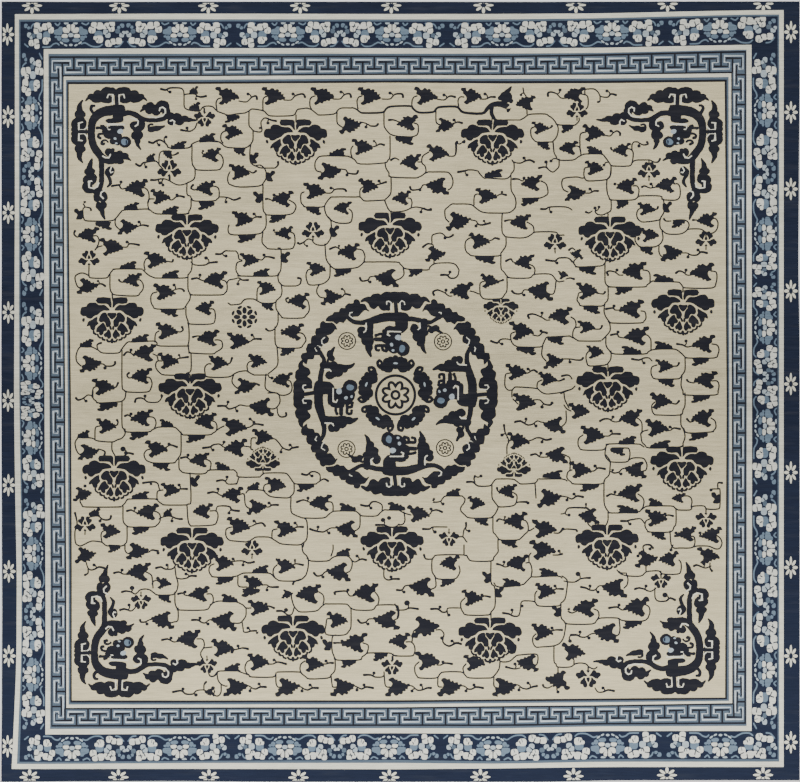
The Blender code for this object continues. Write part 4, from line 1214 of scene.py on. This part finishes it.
dragon += brush("indigo", [(-9, -48.6, 2.6), (-14, -48.4, 2.2), (-19.4, -48.2, 2.2), (-19.4, -44.4, 2),
    (-16.6, -43.8, 1.8)])
dragon += brush("indigo", [(-13.4, -47.6, 2.4), (-12.6, -44, 2.2), (-9, -43.2, 2.4)])

# A bat with curled wing tips and a scalloped back, seen from above the ring of five.
bat = lobed([(0, -3, 6.6, 3.6), (-7, 0.6, 6, 4), (7, 0.6, 6, 4), (0, -6, 2.2, 1.9), (-4.6, -4.9, 2.4, 2),
             (4.6, -4.9, 2.4, 2), (-8.6, -3.4, 2.4, 2.1), (8.6, -3.4, 2.4, 2.1), (-11.6, 1.4, 3.2, 2.8),
             (11.6, 1.4, 3.2, 2.8), (-7, 3.6, 3.8, 2.6), (7, 3.6, 3.8, 2.6), (0, 0.6, 2.3, 2.6)])
bat += mirrored(brush("indigo", [(-12, 3, 3.2), (-15.6, 1.2, 2.3), (-17, -1.6, 2), (-15.4, -3.8, 1.8),
    (-13.4, -2.8, 1.5)]))
bat += dab("grey", 0, -1.4, 2.2, 0.9)

# The roundels: a ring round an eight-petalled flower with an eye, a plain ornament of no meaning.
flowerRoundel = {"ring": 19.4, "petal": 13.6, "waist": 8.6, "eye": 3.8, "petals": 8, "steps": 64}


def roundel(size, wide):
    steps = flowerRoundel["steps"]
    waist = flowerRoundel["waist"]
    made = []
    for part in ("ring", "petal", "eye"):
        line = []
        for k in range(steps + 1):
            a = 2 * math.pi * k / steps
            r = flowerRoundel[part]
            if part == "petal":
                r = waist + (r - waist) * abs(math.sin(flowerRoundel["petals"] * a / 2))
            line.append((r * size * math.cos(a), r * size * math.sin(a)))
        made += stroke("indigo", line, wide)
    return made


def drawMedallion():
    x, y = medallion["centre"]
    place(fuller(ring, 0.65), x, y, wobble=0.25)
    for k in range(4):
        place(fuller(dragon, 0.7), x, y, turn=90.0 * k, wobble=0.2)
    for k in range(5):
        a = math.radians(72 * k - 90)
        place(fuller(bat, 0.8), x + 29 * math.cos(a), y + 29 * math.sin(a), (1.06, 1.14), 72.0 * k,
            wobble=0.2)
    place(roundel(1.0, 2.7), x, y + 1)
    for rx, ry in medallion["smallRoundels"]:
        place(roundel(0.44, 1.2), rx, ry, (1.0, 0.98))


def shifted(motif, x, y):
    return [(dye, [(u + x, v + y) for u, v in points]) for dye, points in motif]


# The dragon in each corner of the field, drawn where it lies in the far left one.
cornerCloud = mirrored(
    lobed([(-8.5, -4.4, 6.4, 4.5), (-4, -4.6, 4, 3.8), (-18, -2.2, 4.6, 3.5), (-24.6, 0.6, 3.6, 2.7), (-19,
    3.2, 6, 3.4),
           (-9, 3.4, 6.6, 3.7), (-13.6, 0.4, 8, 5), (-23.4, 2.4, 3.4, 2.2)])
    + brush("indigo", [(-24, 1, 4), (-27.8, 2.2, 2.6), (-30.6, 4.6, 0.9)])
    + stroke("ivory", [(-3.2, 8), (-3.2, -1.4), (-7.6, -1.6), (-8.6, 1.6)], 1.3)
)
cornerDragon = shifted(cornerCloud, 116, 96) + stroke("indigo", [(116, 91), (117, 108)], 3.2)
sideCloud = lobed([(0, -17.2, 5.4, 4.2), (0, -12.6, 4.6, 3), (-2.8, -7.4, 6, 6), (2.8, -8.2, 3.6, 4.8),
    (-3.4, -2.4, 5.4, 4),
                   (1.6, -3, 5, 2.4)])
sideCloud += brush("indigo", [(0, -19, 7), (-0.6, -25.4, 4.6), (2.2, -30.8, 1.1)])
sideCloud += stroke("ivory", [(2.2, -9.2), (-1.2, -8.6), (-1.2, -2.1), (4, -1.7), (7, -4.6)], 1.3)
for y in (1, -1):
    cornerDragon += shifted([(dye, [(u, y * v) for u, v in points]) for dye, points in sideCloud], 80, 131.6)
cornerDragon += stroke("indigo", [(80, 131.6), (92, 131.8)], 2.8)
# its body, both ends of it and its head, with the ringed snout and the claws
cornerDragon += brush("indigo", [(120, 110.2, 10.6), (112, 110.4, 10.2), (104, 111.6, 9.6), (97.4, 115, 9),
    (92.8, 121, 8),
                                 (91.4, 129, 7.2), (91.6, 138, 7.2), (93.6, 146, 7.4), (98, 152.6, 7.6),
                                 (103, 158.4, 7.4), (109, 161, 6.6), (115, 160.4, 6.4)])
cornerDragon += outline("indigo", [(112, 106), (117, 105.2), (123.6, 105.4), (124.4, 109), (123.6, 113),
    (123, 117),
                                   (122.6, 121.2), (116, 122.6), (109, 122.8), (105.4, 121), (108.6, 118.8),
                                   (112.8, 118.6), (113, 115)], 2)
cornerDragon += brush("indigo", [(122, 114, 5.6), (128, 112.8, 5), (134, 114, 5), (140, 117.6, 4.8), (146,
    119.8, 3.9),
                                 (156, 120.2, 3.8), (164, 118.4, 4.2), (168.5, 114, 4.6)])
cornerDragon += brush("indigo", [(101.4, 160, 5.4), (101.6, 170, 4.8), (101.4, 182, 4.8), (99.6, 188.6,
    4.6), (95, 191.6, 4)])
cornerDragon += lobed([(108, 130.6, 5.8, 4), (114, 129.2, 6, 4), (120.4, 127.6, 3.8, 2.2), (110, 135, 6.4,
    3.6),
                       (116, 136.8, 5.8, 4.6), (113.2, 141.2, 3.4, 3.1), (118, 142, 3.6, 3), (125, 142, 5.9,
                       5.5)])
cornerDragon += stroke("ivory", [(107.4, 129.6), (107.4, 124.4), (124.6, 124.4)], 1.3)
cornerDragon += stroke("ivory", [(107.4, 129.4), (109.8, 129.4)], 1.2) + dab("sky", 124.4, 141.8, 3.5, 3.3)
cornerDragon += dab("navy", 126.2, 142, 0.8, 2.2) + dab("grey", 120.4, 131.4, 3, 2.4)
cornerDragon += dab("grey", 115.2, 138.6, 1.5, 1.3) + dab("grey", 116.2, 143.2, 1.4, 0.9)
cornerDragon += brush("indigo", [(106, 129.6, 3), (101, 128, 2.2), (97, 128, 2.6)])
cornerDragon += brush("indigo", [(104.6, 129.6, 2.4), (103.8, 126.4, 2.2), (101.4, 125.8, 2)])
cornerDragon += brush("indigo", [(109, 135, 2.8), (103, 133.6, 1.9), (98.6, 134.4, 1.9), (98.6, 137.2, 2.8),
    (100.4, 138, 2.2)])
cornerDragon += brush("indigo", [(107.6, 141.8, 1.4), (105.8, 140.4, 1.7), (102.4, 140.8, 1.8), (101.6,
    143.2, 2.6),
                                 (103.6, 144, 2.6)])
cornerDragon += brush("indigo", [(97, 116, 3), (93, 112.6, 3), (91, 109, 3), (91.8, 106, 2.8), (94.2, 105.6,
    1.8)])
# the leaves round it
cornerDragon += lobed([(134.4, 125.6, 4.4, 4.2), (140.6, 124.6, 4.4, 6), (137.6, 129, 4.6, 4), (134.8,
    135.4, 3.6, 3.7),
                       (139.2, 135, 3.6, 4.4), (137.4, 140.4, 2.9, 3.4), (141.8, 119.6, 2.6, 2.6)])
cornerDragon += brush("indigo", [(137.4, 141, 5), (137.8, 145, 3.4), (140.4, 149, 1)])
cornerDragon += stroke("ivory", [(131, 118.4), (135, 118.8), (138, 121.2), (137.8, 124.8), (135.2, 126.2)],
    1.3)
cornerDragon += lobed([(151.6, 129.4, 3.8, 2.7), (156.6, 128.4, 4.4, 2.5)])
cornerDragon += brush("indigo", [(156, 128.2, 4), (161, 127.4, 2.8), (164.4, 125.8, 1)])
cornerDragon += brush("indigo", [(149.4, 129.4, 3), (148.6, 126.2, 2.2), (150.2, 124.4, 1.7), (152.6, 124.6,
    1.5)])
cornerDragon += lobed([(145, 107.6, 3, 2.7), (150.2, 106.2, 4.2, 4), (149.4, 110.8, 3.9, 3.1), (156, 110, 5,
    5.4),
                       (162.4, 106.4, 6.8, 5.9), (166.2, 111.6, 4, 5.2)])
cornerDragon += brush("indigo", [(140.8, 111, 1.1), (145, 108, 4.2)])
cornerDragon += stroke("ivory", [(159.6, 110.8), (159.8, 108.2), (162.6, 107), (165.2, 109), (165.4, 112.6),
    (162.4, 116),
                                 (156, 117.4), (148, 116.6)], 1.3)
cornerDragon += lobed([(170, 116, 4.6, 3.8), (177, 117.2, 4.8, 4), (171.6, 121.6, 4.2, 3.4), (179.4, 122,
    4.6, 3),
                       (184.8, 118.8, 4.2, 3), (189, 119.8, 3.4, 1.9)])
cornerDragon += brush("indigo", [(187, 119.4, 4), (192, 120.2, 2.6), (197, 119.8, 1)])
cornerDragon += stroke("ivory", [(173.8, 125), (174.4, 121.6), (172.4, 119.8), (170, 121)], 1.3)
cornerDragon += lobed([(108.6, 152.2, 3.5, 3.9), (112.6, 150.2, 1.8, 1.7), (115, 156.6, 6.6, 4.8), (119.4,
    153.6, 3.5, 2.9),
                       (124.4, 156, 4, 3.2), (120, 161.2, 3.7, 2.9)])
cornerDragon += brush("indigo", [(124, 156.6, 5), (127.6, 158.4, 2.8), (130.6, 160.2, 1)])
cornerDragon += stroke("ivory", [(102.6, 156), (105.4, 157.8), (108.8, 157.6), (110.4, 154.4)], 1.4)
cornerDragon += lobed([(89.6, 171.4, 5.3, 3.7), (89.2, 180, 6.3, 5.6), (92.6, 178.6, 4.2, 5.2), (87.2,
    186.8, 5, 5.2),
                       (90, 190.4, 6, 2.8), (95, 190.8, 3.4, 2.6)])
cornerDragon += brush("indigo", [(92.2, 159, 1), (90.4, 163.6, 4.4), (89.6, 168, 5.6)])
cornerDragon += stroke("ivory", [(91.8, 181), (89.2, 181.4), (89.2, 187.4), (94, 188.4), (97.4, 186.8),
    (98.6, 183)], 1.4)
cornerDragon += lobed([(110.4, 171.2, 3.9, 4.7), (107, 172.4, 1.9, 3.6)])
cornerDragon += brush("indigo", [(107.4, 175, 3), (109.8, 179, 3), (110.4, 183, 3), (107.8, 186.6, 1.2)])
cornerDragon += stroke("ivory", [(111.6, 167), (109.8, 170.6), (111, 172.6), (112.8, 172)], 1.2)
cornerDragon += lobed([(97.2, 197, 3.6, 5), (103.2, 197, 4.2, 5.2), (98.8, 205.6, 3, 3.6), (103.4, 205.2,
    3.2, 3.8),
                       (99.4, 192, 3.6, 3.2), (101, 209, 3, 2.6)])
cornerDragon += brush("indigo", [(101.6, 209, 5.4), (102.6, 213.6, 4), (104.6, 219, 1)])
cornerDragon += stroke("ivory", [(104.4, 190.4), (101, 192.4), (100.6, 195.6), (103.2, 198.4)], 1.4)


def drawCorners():
    full = fuller(cornerDragon, 0.45)
    place(full, 0, 0, wobble=0.2)
    place(full, 794, 0, flipX=True, wobble=0.2)
    place(full, 3, 784.5, flipY=True, wobble=0.2)
    place(full, 791, 781.5, flipX=True, flipY=True, wobble=0.2)


drawBands()
drawFlorets()
for side in lotusPlaces:
    drawFlowerBand(side)
for side in bands:
    drawFret(side)
for sideX in ("left", "right"):
    for sideY in ("top", "bottom"):
        drawFretCorner(sideX, sideY)
print("borders:", len(painted), "shapes")
drawField()
drawCorners()
drawMedallion()
print("drawn:", len(painted), "shapes")


# The cloth: one level map of all the shapes, cut into tiles.
def rugRim(steps=40):
    # the plan of the carpet's edge, as points in metres
    made = []
    for k in range(4 * steps):
        t = (k % steps) / steps
        across, along = ((t, 1.0), (1.0, 1.0 - t), (1.0 - t, 0.0), (0.0, t))[k // steps]
        x, y = planPlace(across, along)
        made.append((x - boxShift[0], y - boxShift[1]))
    return made


def outwards(x, y):
    # which way is out of the carpet at a place on its rim: -1, 0 or 1 in x and in y
    nearX = abs(x) > carpet["width"] / 2 - 3 * carpet["rimWidth"]
    nearY = abs(y) > carpet["length"] / 2 - 3 * carpet["rimWidth"]
    return math.copysign(nearX, x), math.copysign(nearY, y)


def movedOut(x, y, distance):
    outX, outY = outwards(x, y)
    return x + outX * distance, y + outY * distance


def counterClockwise(points):
    return points if signedArea(points) > 0 else points[::-1]


rim = counterClockwise([toKnots(*movedOut(x, y, -carpet["rimWidth"])) for x, y in rugRim()])
shapes = []
for dye, points in painted:
    points = counterClockwise(list(points))
    xs = [p[0] for p in points]
    ys = [p[1] for p in points]
    shapes.append((dye, points, min(xs), max(xs), min(ys), max(ys)))


def winds(points, x, y):
    # true where an outline goes round the place
    turns = 0
    for (ax, ay), (bx, by) in zip(points, points[1:] + points[:1]):
        if (ay <= y) != (by <= y):
            if (ax + (y - ay) * (bx - ax) / (by - ay)) > x:
                turns += 1 if by > ay else -1
    return turns != 0


def mapOf(x0, x1, y0, y1):
    # the level map inside one rectangle: its points, and its faces with their dyes
    box = [(x0, y0), (x1, y0), (x1, y1), (x0, y1)]
    corners = [Vector(p) for p in box + rim]
    faces = [list(range(4)), list(range(4, 4 + len(rim)))]
    order = ["tile", "rim"]
    pieces = [box, rim]
    for dye, points, left, right, low, high in shapes:
        if right > x0 and left < x1 and high > y0 and low < y1:
            faces.append(list(range(len(corners), len(corners) + len(points))))
            corners += [Vector(p) for p in points]
            order.append(dye)
            pieces.append(points)
    step = carpet["gridStep"]
    for i in range(int(x0 // step), int(x1 // step) + 1):
        for j in range(int(y0 // step), int(y1 // step) + 1):
            if x0 < i * step < x1 and y0 < j * step < y1:
                corners.append(Vector((i * step, j * step)))
    made = delaunay_2d_cdt(corners, [], faces, 0, 1e-4, True)
    kept = []
    for face, sources in zip(made[2], made[5]):
        if 0 in sources and 1 in sources:
            x = sum(made[0][index][0] for index in face) / len(face)
            y = sum(made[0][index][1] for index in face) / len(face)
            held = [top for top in sorted(sources, reverse=True) if top < 14 or winds(pieces[top], x, y)]
            kept.append((face, order[held[0]] if held[0] > 1 else "navy"))
    return made[0], kept


def tileMesh(column, row):
    # the tile's level map in smaller fields, joined
    sheet = bmesh.new()
    dyeOf = sheet.faces.layers.int.new("dyeIndex")
    names = list(dyes)
    x0, x1 = carpet["columns"][column : column + 2]
    y0, y1 = carpet["rows"][row : row + 2]
    parts = 4
    for i in range(parts):
        for j in range(parts):
            points, faces = mapOf(
                x0 + (x1 - x0) * i / parts,
                x0 + (x1 - x0) * (i + 1) / parts,
                y0 + (y1 - y0) * j / parts,
                y0 + (y1 - y0) * (j + 1) / parts,
            )
            verts = {}
            for face, dye in faces:
                for index in face:
                    if index not in verts:
                        verts[index] = sheet.verts.new((*toPlace(*points[index]), 0.0))
                try:
                    new = sheet.faces.new([verts[index] for index in face])
                except ValueError:
                    continue
                new[dyeOf] = names.index(dye)
    bmesh.ops.remove_doubles(sheet, verts=sheet.verts, dist=2e-5)
    bmesh.ops.recalc_face_normals(sheet, faces=sheet.faces)
    if sum(face.normal.z for face in sheet.faces) < 0:
        bmesh.ops.reverse_faces(sheet, faces=sheet.faces)
    return sheet


def onSeam(edge):
    # true where a tile's edge meets the next tile, and not the carpet's rim
    ends = [toKnots(vert.co.x, vert.co.y) for vert in edge.verts]
    lines = carpet["columns"], carpet["rows"]
    return any(
        all(abs(end[axis] - line) < 0.01 for end in ends) for axis in (0, 1) for line in lines[axis]
    )


def rollEdge(sheet, profile, normals):
    # carries the rim on in rows, each so far out of the pile's edge, so high and so tilted
    ring = [edge for edge in sheet.edges if edge.is_boundary and not onSeam(edge)]
    dyeOf = sheet.faces.layers.int["dyeIndex"]
    before = 0.0
    for out, height, tilt in profile:
        made = bmesh.ops.extrude_edge_only(sheet, edges=ring)["geom"]
        new = {item for item in made if isinstance(item, bmesh.types.BMVert)}
        ring = [item for item in made if isinstance(item, bmesh.types.BMEdge) and set(item.verts) <= new]
        for vert in new:
            x, y = vert.co.x, vert.co.y
            vert.co = (*movedOut(x, y, out - before), height)
            side = Vector((*outwards(x, y), 0.0)).normalized() * math.sin(math.radians(tilt))
            normals[vert] = side + Vector((0.0, 0.0, math.cos(math.radians(tilt))))
        for item in made:
            if isinstance(item, bmesh.types.BMFace):
                item[dyeOf] = list(dyes).index("navy")
        before = out


def finishTile(sheet, name, normals, material):
    mesh = bpy.data.meshes.new(name)
    sheet.verts.index_update()
    ordered = [normals[vert] for vert in sheet.verts]
    sheet.to_mesh(mesh)
    dyeIndex = [0] * len(mesh.polygons)
    mesh.attributes["dyeIndex"].data.foreach_get("value", dyeIndex)
    colours = mesh.color_attributes.new("dye", "FLOAT_COLOR", "CORNER")
    palette = [(*colour, 1.0) for colour in dyes.values()]
    flat = []
    for polygon in mesh.polygons:
        flat += list(palette[dyeIndex[polygon.index]]) * polygon.loop_total
        polygon.use_smooth = True
    colours.data.foreach_set("color", flat)
    mesh.normals_split_custom_set_from_vertices(ordered)
    mesh.materials.append(material)
    tile = bpy.data.objects.new(name, mesh)
    bpy.context.scene.collection.objects.link(tile)
    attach(tile, "root")
    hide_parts("rug")
    return tile


class Ply:
    # wraps one socket, so that shader maths reads as a plain expression
    def __init__(self, tree, socket):
        self.tree = tree
        self.socket = socket

    def node(self, kind, settings, sockets, output=0):
        # any other node: its type, its settings, then its sockets' values or links
        made = self.tree.nodes.new(kind)
        for name, value in settings.items():
            setattr(made, name, value)
        for name, value in sockets.items():
            if isinstance(value, Ply):
                self.tree.links.new(value.socket, made.inputs[name])
            else:
                made.inputs[name].default_value = value
        return Ply(self.tree, made.outputs[output])

    def maths(self, operation, a, b):
        return self.node("ShaderNodeMath", {"operation": operation}, {0: a, 1: b})

    def __add__(self, other):
        return self.maths("ADD", self, other)

    def __sub__(self, other):
        return self.maths("SUBTRACT", self, other)

    def __rsub__(self, other):
        return self.maths("SUBTRACT", other, self)

    def __mul__(self, other):
        return self.maths("MULTIPLY", self, other)

    __radd__ = __add__
    __rmul__ = __mul__

    def clamped(self, low, high):
        return self.node("ShaderNodeClamp", {}, {"Value": self, "Min": low, "Max": high})


wool = {
    "patchScale": 1.6,  # slow changes of tone over the cloth, in turns a metre
    "patchDepth": 0.42,
    "lotAcross": 5.0,  # yarn spun and dyed in small lots, worked a few rows at a time
    "lotAlong": 21.0,
    "lotDepth": 0.30,
    "streakAcross": 1.1,  # dye lots and wear run along the rows of knots
    "streakAlong": 75.0,
    "streakDepth": 0.42,
    "rowAcross": 14.0,
    "rowAlong": 230.0,
    "rowDepth": 0.75,
    "knotScale": 300.0,
    "knotDepth": 0.80,
    "bumpHeight": 0.0009,
    "bumpStrength": 0.35,
}


def spread(point, across, along):
    # object coordinates stretched so that a pattern runs along the rows of knots
    return point.node("ShaderNodeMapping", {}, {"Vector": point, "Scale": (across, along, 1.0)})


def noise(point, scale, detail, output=0):
    return point.node(
        "ShaderNodeTexNoise", {}, {"Vector": point, "Scale": scale, "Detail": detail, "Roughness": 0.55},
        output
    )


def woolMaterial(name, back):
    material = bpy.data.materials.new(name)
    material.use_nodes = True
    tree = material.node_tree
    shader = tree.nodes["Principled BSDF"]
    start = Ply(tree, None)
    point = start.node("ShaderNodeTexCoord", {}, {}, "Object")
    dyed = start.node("ShaderNodeAttribute", {"attribute_name": "dye"}, {}, "Color")

    patch = noise(point, wool["patchScale"], 3.0) - 0.5
    streak = noise(spread(point, wool["streakAcross"], wool["streakAlong"]), 1.0, 3.0) - 0.5
    rows = noise(spread(point, wool["rowAcross"], wool["rowAlong"]), 1.0, 2.0) - 0.5
    knots = noise(point, wool["knotScale"], 1.0) - 0.5
    lots = noise(spread(point, wool["lotAcross"], wool["lotAlong"]), 1.0, 2.0) - 0.5
    # the middle is painted darker and the two ends lighter, the near one most: partly painted light and shade
    # as it fell over the cloth, partly uneven tone of the wool
    along = start.node("ShaderNodeSeparateXYZ", {}, {"Vector": point}, "Y")
    shade = (
        0.93
        + along.clamped(0.0, 0.5) * 0.29
        - along.clamped(-1.5, 0.0) * 0.42
        + patch * wool["patchDepth"]
        + lots * wool["lotDepth"]
        + streak * wool["streakDepth"]
        + rows * wool["rowDepth"]
        + knots * wool["knotDepth"]
    ).clamped(0.4, 1.9)
    toned = start.node(
        "ShaderNodeVectorMath", {"operation": "SCALE"}, {0: dyed, "Scale": shade}, "Vector"
    )
    # worn and unevenly dyed wool: a little of a lighter, warmer fibre shows in patches, and on the
    # back the cotton wefts show between the rows of knots
    worn = ((noise(spread(point, 5.0, 40.0), 1.0, 4.0) - 0.52) * 4.0).clamped(0.0, 1.0) * 0.03
    weft = (rows * 3.0 + 0.35).clamped(0.12, 0.6)
    fibre = start.node(
        "ShaderNodeMix",
        {"data_type": "RGBA", "blend_type": "MIX"},
        {"Factor": weft if back else worn, "A": toned, "B": (0.36, 0.33, 0.27, 1.0)},
        "Result",
    )
    tree.links.new(fibre.socket, shader.inputs["Base Color"])
    shader.inputs["Roughness"].default_value = 0.95
    shader.inputs["Specular IOR Level"].default_value = 0.08

    tufts = start.node(
        "ShaderNodeTexVoronoi", {"feature": "F1"}, {"Vector": point, "Scale": 235.0, "Randomness": 0.8},
        "Distance"
    )
    relief = start.node(
        "ShaderNodeBump",
        {},
        {
            "Strength": wool["bumpStrength"],
            "Distance": wool["bumpHeight"],
            "Height": 1.0 - tufts + rows * 1.2 + knots * 0.6,
        },
        "Normal",
    )
    tree.links.new(relief.socket, shader.inputs["Normal"])
    return material


pileWool = woolMaterial("woolPile", False)
backWool = woolMaterial("woolBack", True)

rollRows = []
for tilt in (35.0, 65.0, 90.0):
    rollRows.append(
        (
            carpet["rimWidth"] * math.sin(math.radians(tilt)),
            carpet["rimMiddle"] + (carpet["pile"] - carpet["rimMiddle"]) * math.cos(math.radians(tilt)),
            tilt,
        )
    )
foot = carpet["rimWidth"] - carpet["rimRounding"]
rollRows.append((foot, 0.0, 115.0))

faceCount = 0
for row in range(3):
    for column in range(3):
        spot = ("far", "middle", "near")[row] + "_" + ("left", "centre", "right")[column]
        pile = tileMesh(column, row)
        back = pile.copy()
        normals = {}
        for vert in pile.verts:
            vert.co.z = pileTop(vert.co.x, vert.co.y)
            normals[vert] = pileNormal(vert.co.x, vert.co.y)
        xs = [vert.co.x for vert in pile.verts]
        ys = [vert.co.y for vert in pile.verts]
        cut = max(xs) - min(xs), max(ys) - min(ys)
        rollEdge(pile, rollRows, normals)
        top = finishTile(pile, "pile_" + spot, normals, pileWool)

        normals = {vert: Vector((0.0, 0.0, 1.0)) for vert in back.verts}
        rollEdge(back, [(foot, 0.0, 0.0)], normals)
        bmesh.ops.reverse_faces(back, faces=back.faces)
        normals = {vert: Vector((0.0, 0.0, -1.0)) for vert in back.verts}
        under = finishTile(back, "back_" + spot, normals, backWool)
        faceCount += sum(
            len(face.vertices) - 2 for face in list(top.data.polygons) + list(under.data.polygons)
        )
        pile.free()
        back.free()
print("cloth:", faceCount, "triangles in 18 tiles")

# Stage, light and camera.
studio = {
    "frame": (800, 782),
    "lens": 85.0,
    "floor": (0.86, 0.86, 0.85),
    "gap": 0.0005,  # the floor lies this far under the cloth, so the two don't share a plane
    "softbox": 5.0,
    "strength": 127.0,
    "world": 0.30,
}
floorMesh = bmesh.new()
bmesh.ops.create_grid(floorMesh, x_segments=1, y_segments=1, size=9.0)
floorData = bpy.data.meshes.new("floor")
floorMesh.to_mesh(floorData)
floorMesh.free()
floor = bpy.data.objects.new("floor", floorData)
floor.location.z = -studio["gap"]
bpy.context.scene.collection.objects.link(floor)
floorPaint = bpy.data.materials.new("floorPaint")
floorPaint.use_nodes = True
floorPaint.node_tree.nodes["Principled BSDF"].inputs["Base Color"].default_value = (*studio["floor"], 1.0)
floorPaint.node_tree.nodes["Principled BSDF"].inputs["Roughness"].default_value = 0.9
floorData.materials.append(floorPaint)

world = bpy.data.worlds.new("studio")
world.use_nodes = True
world.node_tree.nodes["Background"].inputs["Color"].default_value = (1.0, 1.0, 1.0, 1.0)
world.node_tree.nodes["Background"].inputs["Strength"].default_value = studio["world"]
bpy.context.scene.world = world

for index, (x, y) in enumerate(((-2.2, 2.4), (2.2, 2.4), (-2.2, -2.4), (2.2, -2.4))):
    lamp = bpy.data.lights.new("softbox" + str(index), "AREA")
    lamp.shape = "SQUARE"
    lamp.size = studio["softbox"] / 2
    lamp.energy = studio["strength"]
    lampObject = bpy.data.objects.new("softbox" + str(index), lamp)
    lampObject.location = (x, y, 4.2)
    lampObject.rotation_euler = (Vector((0, 0, 0)) - lampObject.location).to_track_quat("-Z", "Y").to_euler()
    bpy.context.scene.collection.objects.link(lampObject)

camera = bpy.data.cameras.new("camera")
camera.lens = studio["lens"]
camera.sensor_width = 36.0
camera.sensor_fit = "HORIZONTAL"
camera.dof.use_dof = False
viewWidth = studio["frame"][0] * carpet["knot"]
height = viewWidth * camera.lens / camera.sensor_width + carpet["pile"]
cameraObject = bpy.data.objects.new("camera", camera)
middle = toPlace(studio["frame"][0] / 2, studio["frame"][1] / 2)
cameraObject.location = (*middle, height)
camera.clip_end = 100.0
bpy.context.scene.collection.objects.link(cameraObject)
bpy.context.scene.camera = cameraObject
